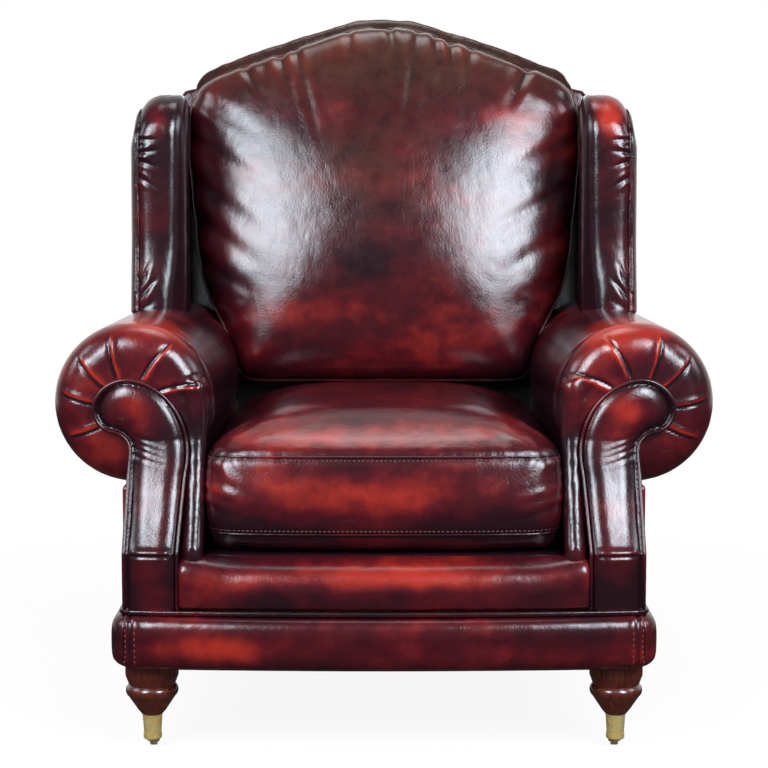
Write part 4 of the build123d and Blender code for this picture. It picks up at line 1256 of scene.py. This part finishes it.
def raise_facing(pad, away, across):
    """Moves the front of a facing out to its padded shape."""
    places, normals = points_of(pad)
    true_front = facing_front(places[:, 2])
    front = ease(places[:, 1], true_front + 0.010, true_front + 0.004) * ease(away, 0.0008, 0.0022)
    front *= ease(-normals[:, 1], 0.0, 0.35)
    round_off = np.clip((away - facing_groove) / facing_round, 0, 1)
    crown = facing_rise * (1 - (1 - round_off) ** 2) ** 0.7
    crown -= facing_tilt * (np.abs(places[:, 0]) - facing_middle_x)
    fold_up = 0.0016 * hump(places[:, 2] - facing_block_top - 0.004, 0.004)
    fold_in = 0.0030 * hump(places[:, 2] - facing_block_top + 0.002, 0.0022)
    crown += (fold_up - fold_in) * ease(away, 0.006, 0.010)
    for height, depth in facing_creases:
        crown += crease(places, (0.347, height + 0.006), (0.300, height - 0.010), 0.0030, depth, across)
    places[:, 1] += front * (true_front + facing_lift - crown - places[:, 1])
    move_points(pad, places)


def facing_cord(across):
    """The line of the piping round a facing."""
    out = np.roll(scroll, -1, axis=0) - np.roll(scroll, 1, axis=0)
    out[0], out[-1] = scroll[1] - scroll[0], scroll[-1] - scroll[-2]
    out = np.column_stack([-out[:, 1], out[:, 0]]) / np.linalg.norm(out, axis=1)[:, None]
    edge = scroll + out * piping_radius
    line = np.column_stack([across * edge[:, 0], facing_front(edge[:, 1]) + facing_lift, edge[:, 1]])
    return soften_line(even_line(line, 260, closed=False), 3, closed=False)


for side, across in sides:
    pad = padding(f"facing_leather_{side}", f"arm_facing_{side}", facing_cell, facing_relax)
    flat = np.column_stack([scroll[:, 0] * across, np.zeros(len(scroll)), scroll[:, 1]])
    places, _ = points_of(pad)
    away, _ = distance_to(places * np.array((1, 0, 1)), even_line(flat, 500, closed=False))
    away = neighbour_mean(pad, away, 6)
    raise_facing(pad, away, across)
    rubs = on_side(across, facing_rubs)
    finish_hide(pad, "chair", [f"arm_facing_{side}"], rubs, away, darker=0.05)
    cord = tube(f"facing_cord_{side}", facing_cord(across), piping_radius, closed=False)
    finish_piping(cord, "chair", f"facing_piping_{side}")

# %% [markdown]
# The wings are boards padded on the inside and covered in two pieces, with piping between them. Three
# pieces have to share one rounded top, so one function lowers the top of whatever it is given.

# %% Wings: the rounded top
wing_corner = 0.045
wing_slope = 0.010


def round_wing_top(piece):
    """Eases the top of a wing piece down towards its outer front corner."""
    places, _ = points_of(piece)
    u = np.clip((np.abs(places[:, 0]) - 0.325) / 0.072, 0, 1)
    drop = wing_slope * u + wing_corner * (1 - np.sqrt(1 - 0.985 * u**3.2))
    places[:, 2] -= drop * ease(places[:, 2], 0.80, 0.93)
    move_points(piece, places)


print("the wing's corner drops", round(1000 * (wing_slope + wing_corner)), "mm at most")

# %% [markdown]
# The inside of a wing is full near its front edge and thins towards the back. Its hide is puckered where
# it turns round that edge, at the brow above and at the foot below. The foot runs down behind the arm,
# so no gap shows there. The outside is a thin flat pad, pressed out a little to meet the piping.

# %% Wings
wing_cell, wing_relax = 0.0056, 6
wing_fullness = 0.016
wing_square = 0.0045
wing_crease = (0.0034, 0.0024)
wing_creases = (
    ((0.391, 0.852), (0.348, 0.853)),
    ((0.391, 0.832), (0.352, 0.836)),
    ((0.391, 0.822), (0.350, 0.808)),
    ((0.391, 0.800), (0.352, 0.774)),
    ((0.391, 0.842), (0.366, 0.846)),
    ((0.386, 0.600), (0.350, 0.612)),
    ((0.386, 0.606), (0.352, 0.640)),
    ((0.388, 0.614), (0.365, 0.665)),
)
wing_wear_and_painted_shade = (
    ((0.354, 0.05, 0.880), (0.018, 0.1, 0.032), 0.95),
    ((0.35, 0.05, 0.70), (0.03, 0.1, 0.06), 0.10),
    # The last row is painted shade in the gap between the wing and the back cushion.
    ((0.33, 0.20, 0.70), (0.04, 0.11, 0.25), -1.8),
)
outer_wing_cell, outer_wing_relax = 0.0042, 6
outer_wing_lift = 0.003

for side, across in sides:
    wing_low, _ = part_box(f"inside_wing_{side}")
    inner = padding(f"inside_wing_leather_{side}", f"inside_wing_{side}", wing_cell, wing_relax)
    subdivide(inner)
    round_wing_top(inner)
    places, normals = points_of(inner)
    fuller = ease(-across * normals[:, 0], 0.1, 0.9)
    fuller *= ease(places[:, 1], wing_low.y + 0.01, wing_low.y + 0.05)
    fuller *= 1 - ease(places[:, 1], wing_low.y + 0.08, wing_low.y + 0.24)
    places[:, 0] -= across * wing_fullness * fuller
    places[:, 2] += 0.007 * fuller * ease(places[:, 2], 0.88, 0.93)
    front = 1 - ease(places[:, 1], wing_low.y + 0.07, wing_low.y + 0.11)
    squarer = hump(across * places[:, 0] - 0.330, 0.015) * ease(-normals[:, 1], 0.1, 0.6)
    places[:, 1] -= wing_square * front * squarer
    move_points(inner, places)
    press(inner, front * sum(crease(places, start, end, *wing_crease, across) for start, end in wing_creases))
    places, _ = points_of(inner)
    places[:, 2] -= 0.030 * (1 - ease(places[:, 2], 0.575, 0.625))
    move_points(inner, places)
    _, normals = points_of(inner)
    # The wing is painted 0.15 darker all over, and where it turns inwards, towards the cushion, it gets
    # painted shade on top of that.
    painted_shade = 0.15 + 0.5 * ease(-across * normals[:, 0], 0.15, 0.5)
    rubs = on_side(across, wing_wear_and_painted_shade)
    finish_hide(inner, "chair", [f"inside_wing_{side}"], rubs, darker=painted_shade)
    outer = padding(
        f"outside_wing_leather_{side}", f"outside_wing_{side}", outer_wing_cell, outer_wing_relax
    )
    press(outer, np.full(len(outer.data.vertices), outer_wing_lift))
    round_wing_top(outer)
    finish_hide(outer, "chair", [f"outside_wing_{side}"], darker=0.15, worn=0.3)

# %% [markdown]
# The lip under the cushion, the bands round the base and the side and back panels are plain padded
# pieces. Their solids have flat faces and small rounds, and stretched hide over wadding has none, so
# the lip is rolled back at its top and the bands are rounded between their edges.

# %% Shapes of the lip and the bands
lip_radius = 0.046
band_back, band_inward = 0.012, 0.008
band_seam_x = 0.345


def round_lip(piece):
    """Turns the top of the lip back in a wide curve, so it rolls under the cushion."""
    places, _ = points_of(piece)
    low, high = places.min(axis=0), places.max(axis=0)
    u = np.clip((places[:, 2] - high[2] + lip_radius) / lip_radius, 0, 1)
    back = lip_radius * (1 - np.sqrt(1 - 0.96 * u * u))
    deep = np.clip((places[:, 1] - low[1]) / 0.10, 0, 1)
    places[:, 1] += back * (1 - deep) * (1 - ease(np.abs(places[:, 0]), 0.20, 0.275))
    move_points(piece, places)


def round_band(piece, inward):
    """Rounds a band between its top and its bottom, on its front and, by inward, at its ends."""
    places, _ = points_of(piece)
    low, high = places.min(axis=0), places.max(axis=0)
    u = np.abs(2 * (places[:, 2] - low[2]) / (high[2] - low[2]) - 1) ** 3.5
    places[:, 1] += band_back * u * (1 - ease(places[:, 1], low[1], low[1] + 0.06))
    outer = np.abs(places[:, 0]).max()
    places[:, 0] -= inward * u * np.sign(places[:, 0]) * ease(np.abs(places[:, 0]), outer - 0.06, outer)
    move_points(piece, places)


def press_band_seams(piece):
    """Presses the two upright seams near the ends of the front band, each between two soft ridges."""
    places, _ = points_of(piece)
    off = np.abs(np.abs(places[:, 0]) - band_seam_x)
    press(piece, 0.0012 * hump(off - 0.006, 0.004) - 0.0025 * hump(off, 0.0028))


print("the band's seams stand", 2 * band_seam_x, "m apart")

# %% [markdown]
# All the plain pieces go through the same steps, so they are rows of one table: the name, the
# construction piece, the size of the mesh's squares, how long it relaxes and how soft it is. The inside
# back and the deck lie in deep shadow behind the cushions, so they are painted dark with painted shade,
# less towards the top edge of the inside back.

# %% Lip, bands and flat panels
plain_pads = (
    ("seat_lip_leather", "seat_lip", 0.0042, 24, 0.7),
    ("front_band_leather", "base_band_front", 0.0042, 16, 0.7),
    ("rear_band_leather", "base_band_rear", 0.0042, 6, 0.6),
    ("left_band_leather", "base_band_left", 0.0042, 6, 0.7),
    ("right_band_leather", "base_band_right", 0.0042, 6, 0.7),
    ("left_side_leather", "outside_arm_left", 0.006, 3, 0.4),
    ("right_side_leather", "outside_arm_right", 0.006, 3, 0.4),
    ("inside_back_leather", "inside_back", 0.007, 4, 0.6),
    ("outside_back_leather", "outside_back", 0.008, 1, 0.3),
    ("deck_leather", "platform_pad", 0.008, 4, 0.5),
)
pad_rubs = {
    "seat_lip": (
        ((0, -0.42, 0.250), (0.22, 0.05, 0.016), 0.75),
        ((-0.19, -0.42, 0.245), (0.05, 0.05, 0.014), 0.35),
    ),
    "base_band_front": (
        ((-0.23, -0.44, 0.155), (0.10, 0.04, 0.02), 0.45),
        ((0.24, -0.44, 0.15), (0.10, 0.04, 0.02), 0.4),
    ),
}

for name, node, cell, relax, fill in plain_pads:
    pad = padding(name, node, cell, relax)
    if node == "seat_lip":
        round_lip(pad)
    if node == "base_band_front":
        round_band(pad, 0)
        press_band_seams(pad)
    if node in ("base_band_left", "base_band_right"):
        round_band(pad, band_inward)
    # Painted shade on the inside back and the deck, less towards the top of the inside back.
    painted_shade = 0.0
    if node in ("inside_back", "platform_pad"):
        places, _ = points_of(pad)
        painted_shade = 1.3 - 1.1 * ease(places[:, 2], 0.86, 0.91)
    finish_hide(pad, "chair", [node], pad_rubs.get(node, ()), worn=0.3, darker=painted_shade)

# %% [markdown]
# The two upright seams of the front band are stitched on both sides. The rows are straight lines set
# just in front of the band and laid on it.

# %% Stitches of the front band
seam_row = 0.0042
front_band = bpy.data.objects["front_band_leather"]
for side, across in sides:
    for gap in (-seam_row, seam_row):
        line = np.array([(across * band_seam_x + gap, -0.452, z) for z in np.linspace(0.129, 0.192, 40)])
        line, out = lay_on(front_band, line, stitch_lift, closed=False)
        stitches(f"band_stitches_{side}_{'outer' if gap * across > 0 else 'inner'}", line, out, "chair")

# %% [markdown]
# The last cords are the piping on top of the base band and the piping between the covers of each wing.
# They turn sharp corners where a tube along a line would pinch, so they are made as the pads are: the
# construction solid is remeshed fine, relaxed a little and pressed out to its full thickness.

# %% Base piping and wing piping
cord_cell, cord_relax, cord_swell = 0.0016, 2, 0.0006
wing_cord_out = 0.003
for node in ("base_piping", "wing_piping_left", "wing_piping_right"):
    cord = padding(f"{node}_cord", node, cord_cell, cord_relax)
    press(cord, np.full(len(cord.data.vertices), cord_swell))
    if node != "base_piping":
        places, _ = points_of(cord)
        places[:, 0] += np.sign(places[:, 0]) * wing_cord_out
        move_points(cord, places)
        round_wing_top(cord)
    finish_piping(cord, "chair", node)
    bpy.ops.object.shade_smooth()
    print(cord.name, len(cord.data.polygons), "faces")
